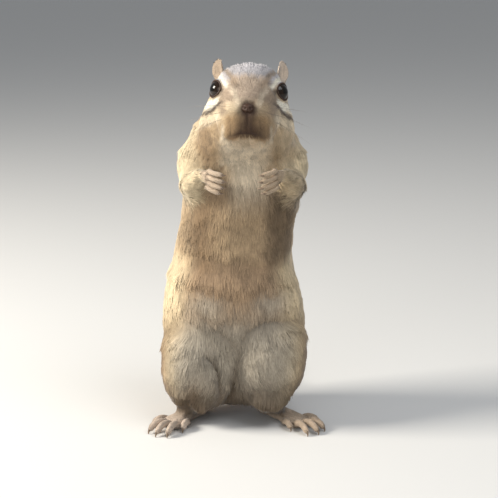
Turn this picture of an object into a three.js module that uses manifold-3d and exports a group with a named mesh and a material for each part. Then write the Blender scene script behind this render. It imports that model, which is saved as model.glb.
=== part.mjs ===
// An eastern chipmunk, life size, standing upright on its hind feet with full cheek pouches and its
// forepaws held together before the mouth. Every solid is the outline of the living animal, coat
// included, parted where the body has a name for what lies on either side. Millimetres, +Z up, the face
// towards -Y, the animal's left towards +X.
import * as THREE from "three";
import { mergeVertices } from "three/addons/utils/BufferGeometryUtils.js";
import Module from "manifold-3d";

const wasm = await Module();
wasm.setup();

// ---- driving sizes ------------------------------------------------------------------------------

const GAP = 0.3; // the thin cut between neighbouring parts
const CROWN_HEIGHT = 130.5; // floor to the top of the head
const HEAD_LENGTH = 40.5; // nose to the back of the skull
const HEAD_RISE = THREE.MathUtils.degToRad(10); // how far the nose points above level
const HEAD_ROLL = THREE.MathUtils.degToRad(2.5); // the left ear is held a little lower
const HEAD_SHIFT = 5.2; // the head and shoulders lean this far towards the left side
const CHEST_SHIFT = 3.2;
const EYE_RADIUS = 4.1;
const EAR_HEIGHT = 9;
const TAIL_LENGTH = 92;
const HAUNCH_DROPS = { right: 2.8, left: -1.4 }; // the right haunch hangs lower than the left
const SOLE_CUT = 0.35; // how much of each resting surface is flattened

const SIDES = { right: -1, left: 1 };
const LEFTWARD = new THREE.Vector3(1, 0, 0);
const UPWARD = new THREE.Vector3(0, 0, 1);

const at = (x, y, z) => new THREE.Vector3(x, y, z);
const mirrored = (p, side) => at(p.x * side, p.y, p.z);

// ---- shape tools --------------------------------------------------------------------------------

// How far a row stands from its path, from 0 at a pole to 1 where the rounded end is over.
function dome(t, start, end) {
  const rise = (share, span) => (span > 0 && share < span ? Math.sqrt(1 - (1 - share / span) ** 2) : 1);
  return rise(t, start) * rise(1 - t, end);
}

// How far soft swellings push a point out from its path: each is a bell over its own three spreads.
const swelling = (p, swells) =>
  swells.reduce((sum, { centre, spread, out }) => {
    const off = p.clone().sub(centre).divide(spread);
    return sum + out * Math.exp(-0.5 * off.lengthSq());
  }, 0);

// A closed skin over rings that ride a smooth path. Each knot has a place and three reaches from the
// path: side (both ways along across), over (along path x across) and under. Both ends are rounded to a
// pole, swells bulge it softly, and grow pushes all of it out.
function loftGeometry({
  knots,
  across = LEFTWARD,
  rows = 10,
  ring = 12,
  ends = [0.12, 0.12],
  power = 2,
  swells = [],
  grow = 0,
}) {
  const path = new THREE.CatmullRomCurve3(knots.map((k) => k.at));
  const reach = new THREE.CatmullRomCurve3(
    knots.map(({ side, over = side, under = over }) => at(side, over, under)),
  );
  const curved = (cosine) => Math.sign(cosine) * Math.abs(cosine) ** (2 / power);
  const positions = [];
  const index = [];
  for (let row = 0; row <= rows; row++) {
    const even = row / rows;
    const t = THREE.MathUtils.lerp(even, (1 - Math.cos(Math.PI * even)) / 2, 0.7);
    const centre = path.getPoint(t);
    const forward = path.getTangent(THREE.MathUtils.clamp(t, 0.001, 0.999));
    if (row === 0 || row === rows) {
      centre.addScaledVector(forward, row === 0 ? -grow : grow);
      positions.push(...centre.toArray());
      continue;
    }
    const side = across.clone().addScaledVector(forward, -across.dot(forward)).normalize();
    const over = new THREE.Vector3().crossVectors(forward, side);
    const size = reach.getPoint(t).multiplyScalar(dome(t, ...ends)).addScalar(grow);
    for (let i = 0; i < ring; i++) {
      const angle = (2 * Math.PI * i) / ring;
      const c = curved(Math.cos(angle));
      const s = curved(Math.sin(angle));
      const height = s * (s > 0 ? size.y : size.z);
      const out = at(0, 0, 0).addScaledVector(side, c * size.x).addScaledVector(over, height);
      const p = centre.clone().add(out);
      positions.push(...p.addScaledVector(out.normalize(), swelling(p, swells)).toArray());
    }
  }
  const last = 1 + (rows - 1) * ring;
  for (let i = 0; i < ring; i++) {
    const next = (i + 1) % ring;
    index.push(0, 1 + next, 1 + i);
    index.push(last, last - ring + i, last - ring + next);
    for (let row = 0; row < rows - 2; row++) {
      const a = 1 + row * ring;
      index.push(a + i, a + next, a + ring + next, a + i, a + ring + next, a + ring + i);
    }
  }
  const geometry = new THREE.BufferGeometry();
  geometry.setAttribute("position", new THREE.Float32BufferAttribute(positions, 3));
  return geometry.setIndex(index);
}

// A three.js geometry, closed and with its shared vertices merged, as a solid that can be cut and joined.
function solid(geometry) {
  const merged = mergeVertices(geometry.deleteAttribute("normal").deleteAttribute("uv"), 1e-4);
  return new wasm.Manifold(
    new wasm.Mesh({
      numProp: 3,
      vertProperties: merged.attributes.position.array,
      triVerts: new Uint32Array(merged.index.array),
    }),
  );
}

const loft = (shape) => solid(loftGeometry(shape));
const joined = (...solids) => solids.reduce((whole, s) => whole.add(s));
const cutBy = (whole, ...cutters) => cutters.reduce((rest, s) => rest.subtract(s), whole);

// A ball stretched to three half-sizes, then turned and set in place.
function ellipsoid(centre, radii, { turn = new THREE.Euler(), around = 16, down = 10, grow = 0 } = {}) {
  const ball = new THREE.SphereGeometry(1, around, down);
  ball.scale(radii.x + grow, radii.y + grow, radii.z + grow);
  ball.applyMatrix4(new THREE.Matrix4().makeRotationFromEuler(turn));
  return solid(ball.translate(centre.x, centre.y, centre.z));
}

// A slab as thin as the cut, wider than the whole body, square to a direction at a point.
function slab(point, direction, thick = GAP, wide = 90) {
  const sheet = new THREE.BoxGeometry(wide, wide, thick);
  sheet.applyQuaternion(new THREE.Quaternion().setFromUnitVectors(UPWARD, direction.clone().normalize()));
  return solid(sheet.translate(point.x, point.y, point.z));
}

// Everything under the floor, which flattens what rests on it.
const belowFloor = slab(at(0, 40, -10), UPWARD, 20, 400);

// The pieces that a body falls into where thin slabs cross it, each chosen by a point it is nearest to.
function parted(whole, slabs, names) {
  const pieces = cutBy(whole, ...slabs).decompose();
  const middle = (piece) => {
    const box = piece.boundingBox();
    return at(...box.min).lerp(at(...box.max), 0.5);
  };
  return Object.fromEntries(
    Object.entries(names).map(([name, near]) => {
      const ranked = pieces.map((p) => [middle(p).distanceTo(near), p]).sort((a, b) => a[0] - b[0]);
      return [name, ranked[0][1]];
    }),
  );
}

// The largest body of a solid, without the crumbs that a grazing cut leaves.
const mainBody = (whole) => whole.decompose().sort((a, b) => b.volume() - a.volume())[0];

// ---- trunk and neck -----------------------------------------------------------------------------

// Under each arm, over each hip, and the loose coat that hangs below the left elbow.
const trunkSwells = [
  ...Object.values(SIDES).flatMap((side) => [
    { centre: at(CHEST_SHIFT + side * 18, -2, 92), spread: at(6, 8, 9), out: 2.2 },
    { centre: at(side * 24, 0, 37), spread: at(7, 10, 5.5), out: 1.5 },
  ]),
  { centre: at(21, -4, 80), spread: at(6, 8, 5.5), out: 3 },
];

// Pear-shaped: narrow shoulders, a round low belly, and a rump that stops just short of the floor.
const trunkShape = (grow = 0) =>
  loft({
    knots: [
      { at: at(0, 5, 3.2), side: 9.5, over: 10.5, under: 11 },
      { at: at(0, 4, 13), side: 18, over: 16, under: 15 },
      { at: at(0.1, 2, 28), side: 22.8, over: 18.6, under: 17.8 },
      { at: at(-0.3, 0, 42), side: 25.3, over: 19, under: 23.4 },
      { at: at(-0.7, -1, 56), side: 23, over: 18.2, under: 21.8 },
      { at: at(0.5, -2, 70), side: 20, over: 17, under: 18.6 },
      { at: at(1.8, -3, 84), side: 18.4, over: 16.2, under: 15.6 },
      { at: at(3, -3, 96), side: 17.2, over: 15, under: 13 },
      { at: at(4.4, -3, 107), side: 13, over: 12.4, under: 10 },
    ],
    rows: 16,
    ring: 22,
    ends: [0.1, 0.1],
    power: 2.15,
    swells: trunkSwells,
    grow,
  });

const neckShape = (grow = 0) =>
  loft({
    knots: [
      { at: at(3, -2, 92), side: 15, over: 13, under: 12 },
      { at: at(3.6, -2, 102), side: 20, over: 15.6, under: 13 },
      { at: at(4.4, -1, 110), side: 16.5, over: 14, under: 12 },
      { at: at(5.2, 0, 119), side: 10, over: 10, under: 8 },
    ],
    rows: 8,
    ring: 16,
    ends: [0.2, 0.2],
    grow,
  });

// ---- head ---------------------------------------------------------------------------------------

// The head's own axis runs from the back of the skull to the nose. Its top line passes under the crown.
const headTurn = new THREE.Euler(-HEAD_RISE, HEAD_ROLL, 0);
const muzzleward = at(0, -1, 0).applyEuler(headTurn);
const skullward = at(0, 0, 1).applyEuler(headTurn);
const cheekward = at(1, 0, 0).applyEuler(headTurn);
const occiput = at(HEAD_SHIFT, 6.4, CROWN_HEIGHT - 17.6);

// A point of the head, from its distance before the occiput, above the axis and to the left.
const onHead = (before, above, left = 0) =>
  occiput
    .clone()
    .addScaledVector(muzzleward, before)
    .addScaledVector(skullward, above)
    .addScaledVector(cheekward, left);

// The cheek pouches hang from the mouth's corners back to the shoulders, the right one the fuller. The brows
// stand over the eyes, and the lips swell the end of the muzzle.
const headSwells = Object.entries(SIDES).flatMap(([name, side]) => [
  { centre: onHead(15.5, -14.6, side * 13.5), spread: at(9, 11.6, 8), out: name === "right" ? 12 : 10.8 },
  { centre: onHead(20, 10, side * 8.5), spread: at(3.4, 5, 3), out: 1 },
  { centre: onHead(35, -6, side * 6), spread: at(3, 4, 3.5), out: 1 },
]);

const headShape = (grow = 0) =>
  loft({
    knots: [
      { at: onHead(0, 0), side: 8, over: 9, under: 8 },
      { at: onHead(8, 0.4), side: 11.8, over: 13.6, under: 11.5 },
      { at: onHead(15, 0.4), side: 12.8, over: 14.9, under: 13 },
      { at: onHead(21, -0.4), side: 12, over: 13.6, under: 13 },
      { at: onHead(26.5, -1.8), side: 10.2, over: 10.4, under: 11.4 },
      { at: onHead(31, -3.2), side: 8.6, over: 8.2, under: 9.4 },
      { at: onHead(36, -4.6), side: 7.4, over: 6.4, under: 7.4 },
      { at: onHead(HEAD_LENGTH - 0.8, -5), side: 5, over: 4.6, under: 5.2 },
    ],
    across: cheekward,
    rows: 16,
    ring: 24,
    ends: [0.13, 0.1],
    power: 2.25,
    swells: headSwells,
    grow,
  });

const eyeCentre = (name) => onHead(20.6, 5.2, SIDES[name] * 9.3);
const eyeShape = (name, grow = 0) =>
  ellipsoid(eyeCentre(name), at(EYE_RADIUS, EYE_RADIUS, EYE_RADIUS), { around: 12, down: 8, grow });

const noseShape = (grow = 0) =>
  ellipsoid(onHead(HEAD_LENGTH - 1.6, -1.3), at(2.2, 1.6, 1.7), {
    turn: headTurn,
    around: 10,
    down: 7,
    grow,
  });

// A leaf-shaped cup: broad above a narrow root, open to the front and side, its rim rolled thin.
function earShape(name) {
  const side = SIDES[name];
  const root = onHead(10, 8, side * 10.2 + 0.4);
  const rise = at(side * 0.16, 0.34, 0.94).normalize();
  const along = (share) => root.clone().addScaledVector(rise, share * EAR_HEIGHT);
  const across = at(side * 0.45, 0.89, 0).normalize();
  const outward = at(side * 0.89, -0.45, 0);
  const leaf = (inset, forward) => {
    const knot = (share, half, thick) => ({
      at: along(share).addScaledVector(outward, forward),
      side: half - inset,
      over: thick - inset,
    });
    return loft({
      knots: [
        knot(-0.25, 3.4, 1.7),
        knot(0.15, 4.4, 1.9),
        knot(0.5, 4.1, 1.7),
        knot(0.8, 2.8, 1.3),
        knot(1 - inset / EAR_HEIGHT, 1.2, 1.1),
      ],
      across,
      rows: 6,
      ring: 12,
      ends: [0.1, 0.16],
    });
  };
  return cutBy(leaf(0, 0), leaf(0.75, 1.6));
}

// ---- forelimbs ----------------------------------------------------------------------------------

const chest = (p, side) => mirrored(p, side).add(at(CHEST_SHIFT, 0, 0));
const SHOULDER = at(14.6, -1.5, 105);
const ELBOW = at(18, -5.5, 86.5);
const WRIST = at(14.6, -25.2, 95.2);

const upperArmShape = (side, grow = 0) =>
  loft({
    knots: [
      { at: chest(SHOULDER, side), side: 6.8, over: 8.6 },
      { at: chest(SHOULDER.clone().lerp(ELBOW, 0.55), side), side: 7.2, over: 9 },
      { at: chest(ELBOW.clone().add(at(-0.6, 1, -1)), side), side: 5.8, over: 6.8 },
    ],
    rows: 8,
    ring: 14,
    ends: [0.45, 0.45],
    grow,
  });

const forearmShape = (side, grow = 0) =>
  loft({
    knots: [
      { at: chest(ELBOW, side), side: 5.4 },
      { at: chest(ELBOW.clone().lerp(WRIST, 0.4).add(at(0.8, 0, 0)), side), side: 5 },
      { at: chest(ELBOW.clone().lerp(WRIST, 0.8), side), side: 3.1 },
      { at: chest(WRIST, side), side: 2.5 },
    ],
    across: UPWARD,
    rows: 10,
    ring: 12,
    ends: [0.25, 0.1],
    grow,
  });

// A finger or toe: four joints that arch over their middle, then a claw that hooks on from the tip.
// heading is where it points, arch is the way its back faces, and curl bends it from back to pad.
function digit({ root, heading, arch, length, radius, curl, claw }) {
  const bones = [root.clone()];
  const direction = heading.clone().normalize();
  const hinge = new THREE.Vector3().crossVectors(direction, arch).normalize();
  for (const share of [0.36, 0.34, 0.3]) {
    bones.push(bones.at(-1).clone().addScaledVector(direction, share * length));
    direction.applyAxisAngle(hinge, -curl);
  }
  const thick = [1.05, 1, 0.98, 0.86].map((share) => share * radius);
  const flesh = loft({
    knots: bones.map((bone, i) => ({ at: bone, side: thick[i] })),
    across: hinge,
    rows: 5,
    ring: 6,
    ends: [0.05, 0.16],
  });
  const clawBase = bones
    .at(-1)
    .clone()
    .addScaledVector(direction, -0.7 * radius)
    .addScaledVector(arch, 0.25 * radius);
  const hooked = direction.clone().applyAxisAngle(hinge, -0.5);
  const clawMiddle = clawBase.clone().addScaledVector(direction, 0.55 * claw);
  const nail = loft({
    knots: [
      { at: clawBase, side: 0.5, over: 0.62 },
      { at: clawMiddle, side: 0.42, over: 0.52 },
      { at: clawMiddle.clone().addScaledVector(hooked, 0.6 * claw), side: 0.26, over: 0.3 },
    ],
    across: hinge,
    rows: 3,
    ring: 4,
    ends: [0.05, 0.2],
  });
  return joined(flesh, nail);
}

// A forepaw held towards its fellow: the back of the hand faces forward and out, and four fingers reach
// in and a little down.
function handShape(side) {
  const wrist = chest(WRIST, side);
  const reachIn = at(side * -0.7, -0.66, -0.26).normalize();
  const spread = at(side * -0.12, -0.26, 0.96).normalize();
  const back = new THREE.Vector3().crossVectors(spread, reachIn).multiplyScalar(side).normalize();
  const place = (ahead, up) => wrist.clone().addScaledVector(reachIn, ahead).addScaledVector(spread, up);
  const palm = loft({
    knots: [
      { at: place(-0.6, 0), side: 2.3, over: 2.1 },
      { at: place(2.4, 0), side: 3, over: 1.8 },
      { at: place(5.4, 0), side: 3.8, over: 1.6 },
    ],
    across: spread,
    rows: 5,
    ring: 10,
    ends: [0.12, 0.3],
  });
  const fingers = [-2.9, -1, 0.9, 2.8].map((up) =>
    digit({
      root: place(4.4, up),
      heading: reachIn.clone().addScaledVector(spread, up * 0.03).addScaledVector(back, 0.12),
      arch: back,
      length: Math.abs(up) > 2 ? 5.8 : 6.6,
      radius: 0.8,
      curl: 0.3,
      claw: 1.5,
    }),
  );
  return joined(palm, ...fingers);
}

// ---- hind limbs ---------------------------------------------------------------------------------

// The haunch is a broad oval from the rump forward to the knee, and the two nearly meet before the belly.
const thighShape = (side, grow = 0) => {
  const drop = side < 0 ? HAUNCH_DROPS.right : HAUNCH_DROPS.left;
  return loft({
    knots: [
      { at: mirrored(at(11.5, 13, 27 - drop), side), side: 9.5, over: 14, under: 13 },
      { at: mirrored(at(13.2, 1, 26 - drop), side), side: 13.2, over: 21, under: 19 },
      { at: mirrored(at(12.8, -11, 24.2 - drop), side), side: 13.2, over: 19, under: 18 },
      { at: mirrored(at(11.6, -22, 21.5 - drop), side), side: 11.5, over: 14, under: 12.5 },
    ],
    across: LEFTWARD,
    rows: 11,
    ring: 16,
    ends: [0.22, 0.3],
    power: 2.4,
    grow,
  });
};

const HEELS = { right: at(-11.5, 2.5, 0), left: at(11, 2.5, 0) };
const SPLAY = { right: THREE.MathUtils.degToRad(-31), left: THREE.MathUtils.degToRad(38) };

const shankShape = (name, grow = 0) => {
  const heel = HEELS[name];
  return loft({
    knots: [
      { at: mirrored(at(12.6, -17, 16.5), SIDES[name]), side: 9, over: 9 },
      { at: mirrored(at(13, -9.5, 11.5), SIDES[name]), side: 7.4, over: 7.4 },
      { at: heel.clone().add(at(0, -2, 5.8)), side: 4.3, over: 4.2 },
    ],
    rows: 8,
    ring: 12,
    ends: [0.3, 0.35],
    grow,
  });
};

// A long flat sole, heel on the floor, and five toes whose middle three reach furthest.
function footShape(name, { toes = true, grow = 0 } = {}) {
  const turn = new THREE.Quaternion().setFromAxisAngle(UPWARD, SPLAY[name]);
  const ahead = at(0, -1, 0).applyQuaternion(turn);
  const outer = at(SIDES[name], 0, 0).applyQuaternion(turn);
  const place = (forward, out, up) => {
    const level = HEELS[name].clone().addScaledVector(ahead, forward).addScaledVector(outer, out);
    return level.addScaledVector(UPWARD, up);
  };
  const sole = loft({
    knots: [
      { at: place(-2.6, 0, 2.6), side: 2.4, over: 2.6, under: 2.6 },
      { at: place(3, 0, 2.9), side: 3.1, over: 3.6, under: 3.3 },
      { at: place(11, 0.1, 2.6), side: 3.2, over: 2.6, under: 3 },
      { at: place(18, 0.2, 2.3), side: 4.2, over: 2, under: 2.7 },
      { at: place(23.5, 0.2, 1.9), side: 4.7, over: 1.5, under: 2.3 },
    ],
    across: outer.clone().multiplyScalar(SIDES[name]),
    rows: 8,
    ring: 12,
    ends: [0.1, 0.14],
    power: 2.3,
    grow,
  });
  if (!toes) return cutBy(sole, belowFloor);
  const reach = [
    { out: -4, forward: 17.5, length: 6.2 },
    { out: -2.3, forward: 21.6, length: 9.2 },
    { out: 0.1, forward: 22.2, length: 9.8 },
    { out: 2.5, forward: 21.6, length: 9.2 },
    { out: 4.3, forward: 18.4, length: 7 },
  ];
  const claw = 2;
  const made = reach.map(({ out, forward, length }) =>
    digit({
      root: place(forward, out, 1.9),
      heading: ahead.clone().addScaledVector(outer, out * 0.075).add(at(0, 0, 0.42)),
      arch: UPWARD,
      length: length - 0.4,
      radius: 1.1,
      curl: 0.5,
      claw,
    }),
  );
  return cutBy(joined(sole, ...made), belowFloor);
}

// ---- tail ---------------------------------------------------------------------------------------

// Laid straight back along the floor with a slight bend, its hair spread wider than it is deep.
const tailShape = () => {
  const rump = at(0, 15, 11);
  const knot = (share, drift, up, side, over) => ({
    at: at(rump.x + drift, rump.y + share * TAIL_LENGTH, up),
    side,
    over,
    under: up + SOLE_CUT,
  });
  return loft({
    knots: [
      { at: rump, side: 5.5, over: 5, under: 5 },
      { at: at(0.3, rump.y + 10, 7.4), side: 6.6, over: 5, under: 5.6 },
      knot(0.24, 1.2, 5.2, 8, 4.8),
      knot(0.45, 3.2, 4.6, 9.2, 4.6),
      knot(0.65, 5.4, 4.3, 9.4, 4.4),
      knot(0.84, 6.6, 3.6, 7.6, 3.8),
      knot(1, 6.6, 2.4, 3.6, 2.4),
    ],
    across: at(-1, 0, 0),
    rows: 14,
    ring: 12,
    ends: [0.06, 0.07],
  });
};

// ---- the whole animal ---------------------------------------------------------------------------

const COAT = {
  back: { color: 0x8a7256, roughness: 0.9 },
  belly: { color: 0xd9cbb2, roughness: 0.92 },
  flank: { color: 0xb08a5c, roughness: 0.9 },
  face: { color: 0xa58f72, roughness: 0.9 },
  tail: { color: 0x6f5a44, roughness: 0.92 },
  paw: { color: 0xb89878, roughness: 0.7 },
  nose: { color: 0x4a332b, roughness: 0.45 },
  eye: { color: 0x0c0a09, roughness: 0.06 },
};

const chipmunk = new THREE.Group();
const materials = {};
for (const [name, look] of Object.entries(COAT)) {
  materials[name] = new THREE.MeshStandardMaterial({ ...look, metalness: 0 });
}

function addPart(name, body, material) {
  const mesh = body.getMesh();
  const geometry = new THREE.BufferGeometry();
  geometry.setAttribute("position", new THREE.BufferAttribute(mesh.vertProperties, 3));
  geometry.setIndex(new THREE.BufferAttribute(mesh.triVerts, 1));
  geometry.computeVertexNormals();
  const part = new THREE.Mesh(geometry, materials[material]);
  part.name = name;
  chipmunk.add(part);
}

const eyeHollows = Object.keys(SIDES).map((name) => eyeShape(name, GAP));
const head = cutBy(headShape(), ...eyeHollows, noseShape(GAP));
const headRoom = headShape(GAP);
const trunkRoom = trunkShape(GAP);

addPart("head", mainBody(head), "face");
addPart("nose", noseShape(), "nose");
addPart("neck", mainBody(cutBy(neckShape(), headRoom, trunkRoom)), "back");

const trunk = parted(cutBy(trunkShape(), headRoom), [slab(at(0, 0, 58), at(0, 0.12, 1))], {
  thorax: at(2, -2, 80),
  abdomen: at(0, 0, 30),
});
addPart("thorax", trunk.thorax, "belly");
addPart("abdomen", trunk.abdomen, "belly");

for (const [name, side] of Object.entries(SIDES)) {
  addPart(`eye_${name}`, eyeShape(name), "eye");
  addPart(`ear_${name}`, mainBody(cutBy(earShape(name), headRoom)), "face");

  const upperArm = cutBy(upperArmShape(side), trunkRoom, headRoom, neckShape(GAP));
  const forearm = cutBy(forearmShape(side), upperArmShape(side, GAP), trunkRoom, headRoom);
  addPart(`upper_arm_${name}`, mainBody(upperArm), "flank");
  addPart(`forearm_${name}`, mainBody(forearm), "flank");
  addPart(`hand_${name}`, mainBody(cutBy(handShape(side), forearmShape(side, GAP), headRoom)), "paw");

  const footRoom = footShape(name, { toes: false, grow: GAP });
  const thigh = cutBy(thighShape(side), trunkRoom, thighShape(-side, GAP / 2), footRoom);
  const shank = cutBy(shankShape(name), thighShape(side, GAP), trunkRoom, footRoom, belowFloor);
  addPart(`thigh_${name}`, mainBody(thigh), "flank");
  addPart(`shank_${name}`, mainBody(shank), "flank");
  addPart(`foot_${name}`, footShape(name), "paw");
}

const thighRooms = Object.values(SIDES).map((side) => thighShape(side, GAP));
const tail = cutBy(tailShape(), trunkRoom, belowFloor, ...thighRooms);
const tailCuts = [0.36, 0.68].map((share) => slab(at(0, 15 + share * TAIL_LENGTH, 5), at(0, 1, 0)));
const tailNames = { tail_base: at(0, 33, 6), tail_middle: at(4, 63, 5), tail_tip: at(6, 92, 4) };
for (const [name, piece] of Object.entries(parted(tail, tailCuts, tailNames))) addPart(name, piece, "tail");

// The part's origin is on the floor, under the middle of its box.
const box = new THREE.Box3().setFromObject(chipmunk, true);
chipmunk.position.set(-(box.min.x + box.max.x) / 2, -(box.min.y + box.max.y) / 2, -box.min.z);

export default chipmunk;
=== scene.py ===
"""A life-size eastern chipmunk standing upright: its skin, coat, eyes, claws and whiskers.

Shapes are worked out in millimetres in the body's own plan, where Z is up from the floor, the face looks
towards -Y and the animal's left is +X. A mesh gets them in metres, moved to where the frame holds the body.
"""

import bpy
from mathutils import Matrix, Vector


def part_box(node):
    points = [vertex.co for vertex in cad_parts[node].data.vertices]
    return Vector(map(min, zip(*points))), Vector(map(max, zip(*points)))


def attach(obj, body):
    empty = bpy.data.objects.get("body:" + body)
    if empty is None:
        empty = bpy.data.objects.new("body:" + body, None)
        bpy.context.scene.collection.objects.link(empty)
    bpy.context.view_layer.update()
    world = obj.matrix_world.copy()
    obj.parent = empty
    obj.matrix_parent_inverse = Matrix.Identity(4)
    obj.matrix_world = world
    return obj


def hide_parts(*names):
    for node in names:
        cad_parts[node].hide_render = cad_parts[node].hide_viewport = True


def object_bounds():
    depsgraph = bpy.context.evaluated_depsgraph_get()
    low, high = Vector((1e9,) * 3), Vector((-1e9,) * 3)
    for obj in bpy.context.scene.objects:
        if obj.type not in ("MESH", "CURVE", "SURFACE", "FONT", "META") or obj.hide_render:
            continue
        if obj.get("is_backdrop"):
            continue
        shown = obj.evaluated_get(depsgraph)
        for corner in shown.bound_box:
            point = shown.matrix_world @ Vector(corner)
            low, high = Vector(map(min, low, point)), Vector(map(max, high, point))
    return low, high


bl_info = {
    "name": "Standing chipmunk",
    "version": (1, 0, 0),
    "blender": (4, 5, 0),
    "location": "3D View > Sidebar > Chipmunk",
    "description": "Builds the skin, coat, eyes, claws and whiskers of a standing chipmunk",
    "category": "Add Mesh",
}

import bpy
import numpy as np
from bpy.props import FloatProperty, FloatVectorProperty, IntProperty, PointerProperty
from mathutils import Vector

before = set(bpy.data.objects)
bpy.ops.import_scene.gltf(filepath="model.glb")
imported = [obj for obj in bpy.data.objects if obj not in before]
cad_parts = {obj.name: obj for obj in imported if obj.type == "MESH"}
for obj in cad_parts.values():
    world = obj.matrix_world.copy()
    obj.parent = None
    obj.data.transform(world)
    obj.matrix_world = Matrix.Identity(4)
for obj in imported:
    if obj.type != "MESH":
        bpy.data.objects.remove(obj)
CAD_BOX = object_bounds()

MM = 0.001
SIDES = {"right": -1, "left": 1}
BODY = "root"
# How far hair and claws stay above the floor, in millimetres.
FLOOR_GAP = 0.05


# ---- small tools on arrays ------------------------------------------------------------------------


def vector(*numbers):
    """The numbers as one row of decimals."""
    return np.array(numbers, float)


def unit(vectors):
    """Each vector over its own length."""
    return vectors / np.maximum(np.linalg.norm(vectors, axis=-1, keepdims=True), 1e-12)


def dots(a, b):
    """Sum of the products of two rows' entries, row by row."""
    return np.sum(a * b, axis=-1, keepdims=True)


def smoothstep(low, high, value):
    """0 below low, 1 above high, and a soft S between them."""
    share = np.clip((value - low) / (high - low), 0, 1)
    return share * share * (3 - 2 * share)


def bell(value, spread):
    """1 at zero, falling as a normal curve of that spread."""
    return np.exp(-0.5 * (value / spread) ** 2)


def band(value, centre, half, soft):
    """1 within half of a centre line, fading to 0 over soft on both sides."""
    return 1 - smoothstep(half - soft / 2, half + soft / 2, np.abs(value - centre))


def read(items, name, width, kind=np.float64):
    """One property of all of a mesh's vertices or triangles, as rows."""
    single = np.float32 if kind == np.float64 else np.int32
    flat = np.empty(len(items) * width, single)
    items.foreach_get(name, flat)
    return flat.reshape(-1, width).astype(kind)


def corner_normals(points, triangles):
    """Each point's normal: the mean of its triangles' normals, larger triangles counting for more."""
    a, b, c = (points[triangles[:, k]] for k in range(3))
    across = np.cross(b - a, c - a)
    total = np.zeros_like(points)
    for k in range(3):
        for axis in range(3):
            total[:, axis] += np.bincount(triangles[:, k], across[:, axis], len(points))
    return unit(total)


def edges_of(triangles):
    """Every pair of points that a side of a triangle joins, once each."""
    pairs = np.concatenate([triangles[:, [0, 1]], triangles[:, [1, 2]], triangles[:, [2, 0]]])
    return np.unique(np.sort(pairs, axis=1), axis=0)


def relaxed(values, edges, rounds, share=0.5):
    """In each round every value moves a share of the way to the mean of its neighbours."""
    size = len(values)
    count = np.bincount(edges.ravel(), minlength=size)[:, None]
    a, b = edges.T
    for _ in range(rounds):
        total = np.empty_like(values)
        for k in range(values.shape[1]):
            total[:, k] = np.bincount(a, values[b, k], size) + np.bincount(b, values[a, k], size)
        values = values + share * (total / np.maximum(count, 1) - values)
    return values


def off_floor(points, gap):
    """The points with none of them lower than the gap."""
    return np.maximum(points, [-np.inf, -np.inf, gap])


# ---- the body's plan -----------------------------------------------------------------------------

# Places and lengths are in millimetres, angles in radians. Places on the head count from the back of the
# skull, as on_head does.
HEAD_RISE = np.radians(10)
HEAD_ROLL = np.radians(2.5)
OCCIPUT = vector(5.2, 6.4, 112.9)
EYE_PLACE = vector(20.6, 5.2, 9.3)
EYE_RADIUS = 4.1
NOSE_PLACE = vector(38.9, -1.3, 0)
EAR_PLACE = vector(10, 8, 10.2)
EAR_HEIGHT = 9.0
EAR_HALF = 4.25
EAR_CUP = 1.5
EAR_TURN = (0.89, 0.45)
CHEST_SHIFT = vector(3.2, 0, 0)
WRIST = vector(14.6, -25.2, 95.2)
HEELS = {"right": vector(-11.5, 2.5, 0), "left": vector(11, 2.5, 0)}
SPLAY = {"right": np.radians(-31), "left": np.radians(38)}
TAIL_LINE = np.array(
    [[0, 12, 12], [0.3, 25, 7.4], [1.2, 37, 5.4], [3.2, 56.4, 4.8]]
    + [[5.4, 74.8, 4.4], [6.6, 92.3, 3.8], [6.6, 104, 3]]
)


def head_axes():
    """The head's ways ahead, skullward and left: the body's, rolled about Y and then tilted about X."""
    c, s = np.cos([HEAD_RISE, HEAD_ROLL]), np.sin([HEAD_RISE, HEAD_ROLL])
    tilt = np.array([[1, 0, 0], [0, c[0], s[0]], [0, -s[0], c[0]]])
    roll = np.array([[c[1], 0, s[1]], [0, 1, 0], [-s[1], 0, c[1]]])
    return np.stack([tilt @ roll @ vector(*way) for way in ((0, -1, 0), (0, 0, 1), (1, 0, 0))])


HEAD_AXES = head_axes()
AHEAD, SKULLWARD, CHEEKWARD = HEAD_AXES


def on_head(place):
    """A point of the plan, from its distance before the back of the skull, above the head's axis and left."""
    return OCCIPUT + np.asarray(place, float) @ HEAD_AXES


def head_places(points):
    """Distances before the back of the skull, above the head's axis and left of it, one row a point."""
    return (points - OCCIPUT) @ HEAD_AXES.T


def sided(place, side):
    """A place on the left of the head, or its mirror image on the right."""
    return place * vector(1, 1, side)


def middle(node):
    """The middle of a node's box: half the sum of its lowest and highest corners."""
    low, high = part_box(node)
    return np.array(low + high) / 2


eyes_in_frame = (middle("eye_right") + middle("eye_left")) / 2 / MM
PLAN_SHIFT = (on_head(EYE_PLACE * vector(1, 1, 0)) - eyes_in_frame) * vector(1, 1, 0)


# ---- surfaces --------------------------------------------------------------------------------------


def along_path(knots, shares):
    """Points and directions at shares of a path that runs smoothly through its knots.

    Between knots b and c, with a before and d after, it is half of 2b + (c - a)t + (2a - 5b + 4c - d) times t
    squared + (3b - a - 3c + d) times t cubed, and its direction is that sum's rate of change.
    """
    knots = np.vstack([2 * knots[0] - knots[1], knots, 2 * knots[-1] - knots[-2]])
    spans = len(knots) - 3
    place = np.clip(shares * spans, 0, spans - 1e-6)
    first = place.astype(int)
    t = (place - first)[:, None]
    a, b, c, d = (knots[first + k] for k in range(4))
    lift = 2 * a - 5 * b + 4 * c - d
    bend = 3 * b - a - 3 * c + d
    point = (2 * b + (c - a) * t + lift * t**2 + bend * t**3) / 2
    return point, unit((c - a) + 2 * lift * t + 3 * bend * t**2)


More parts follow.
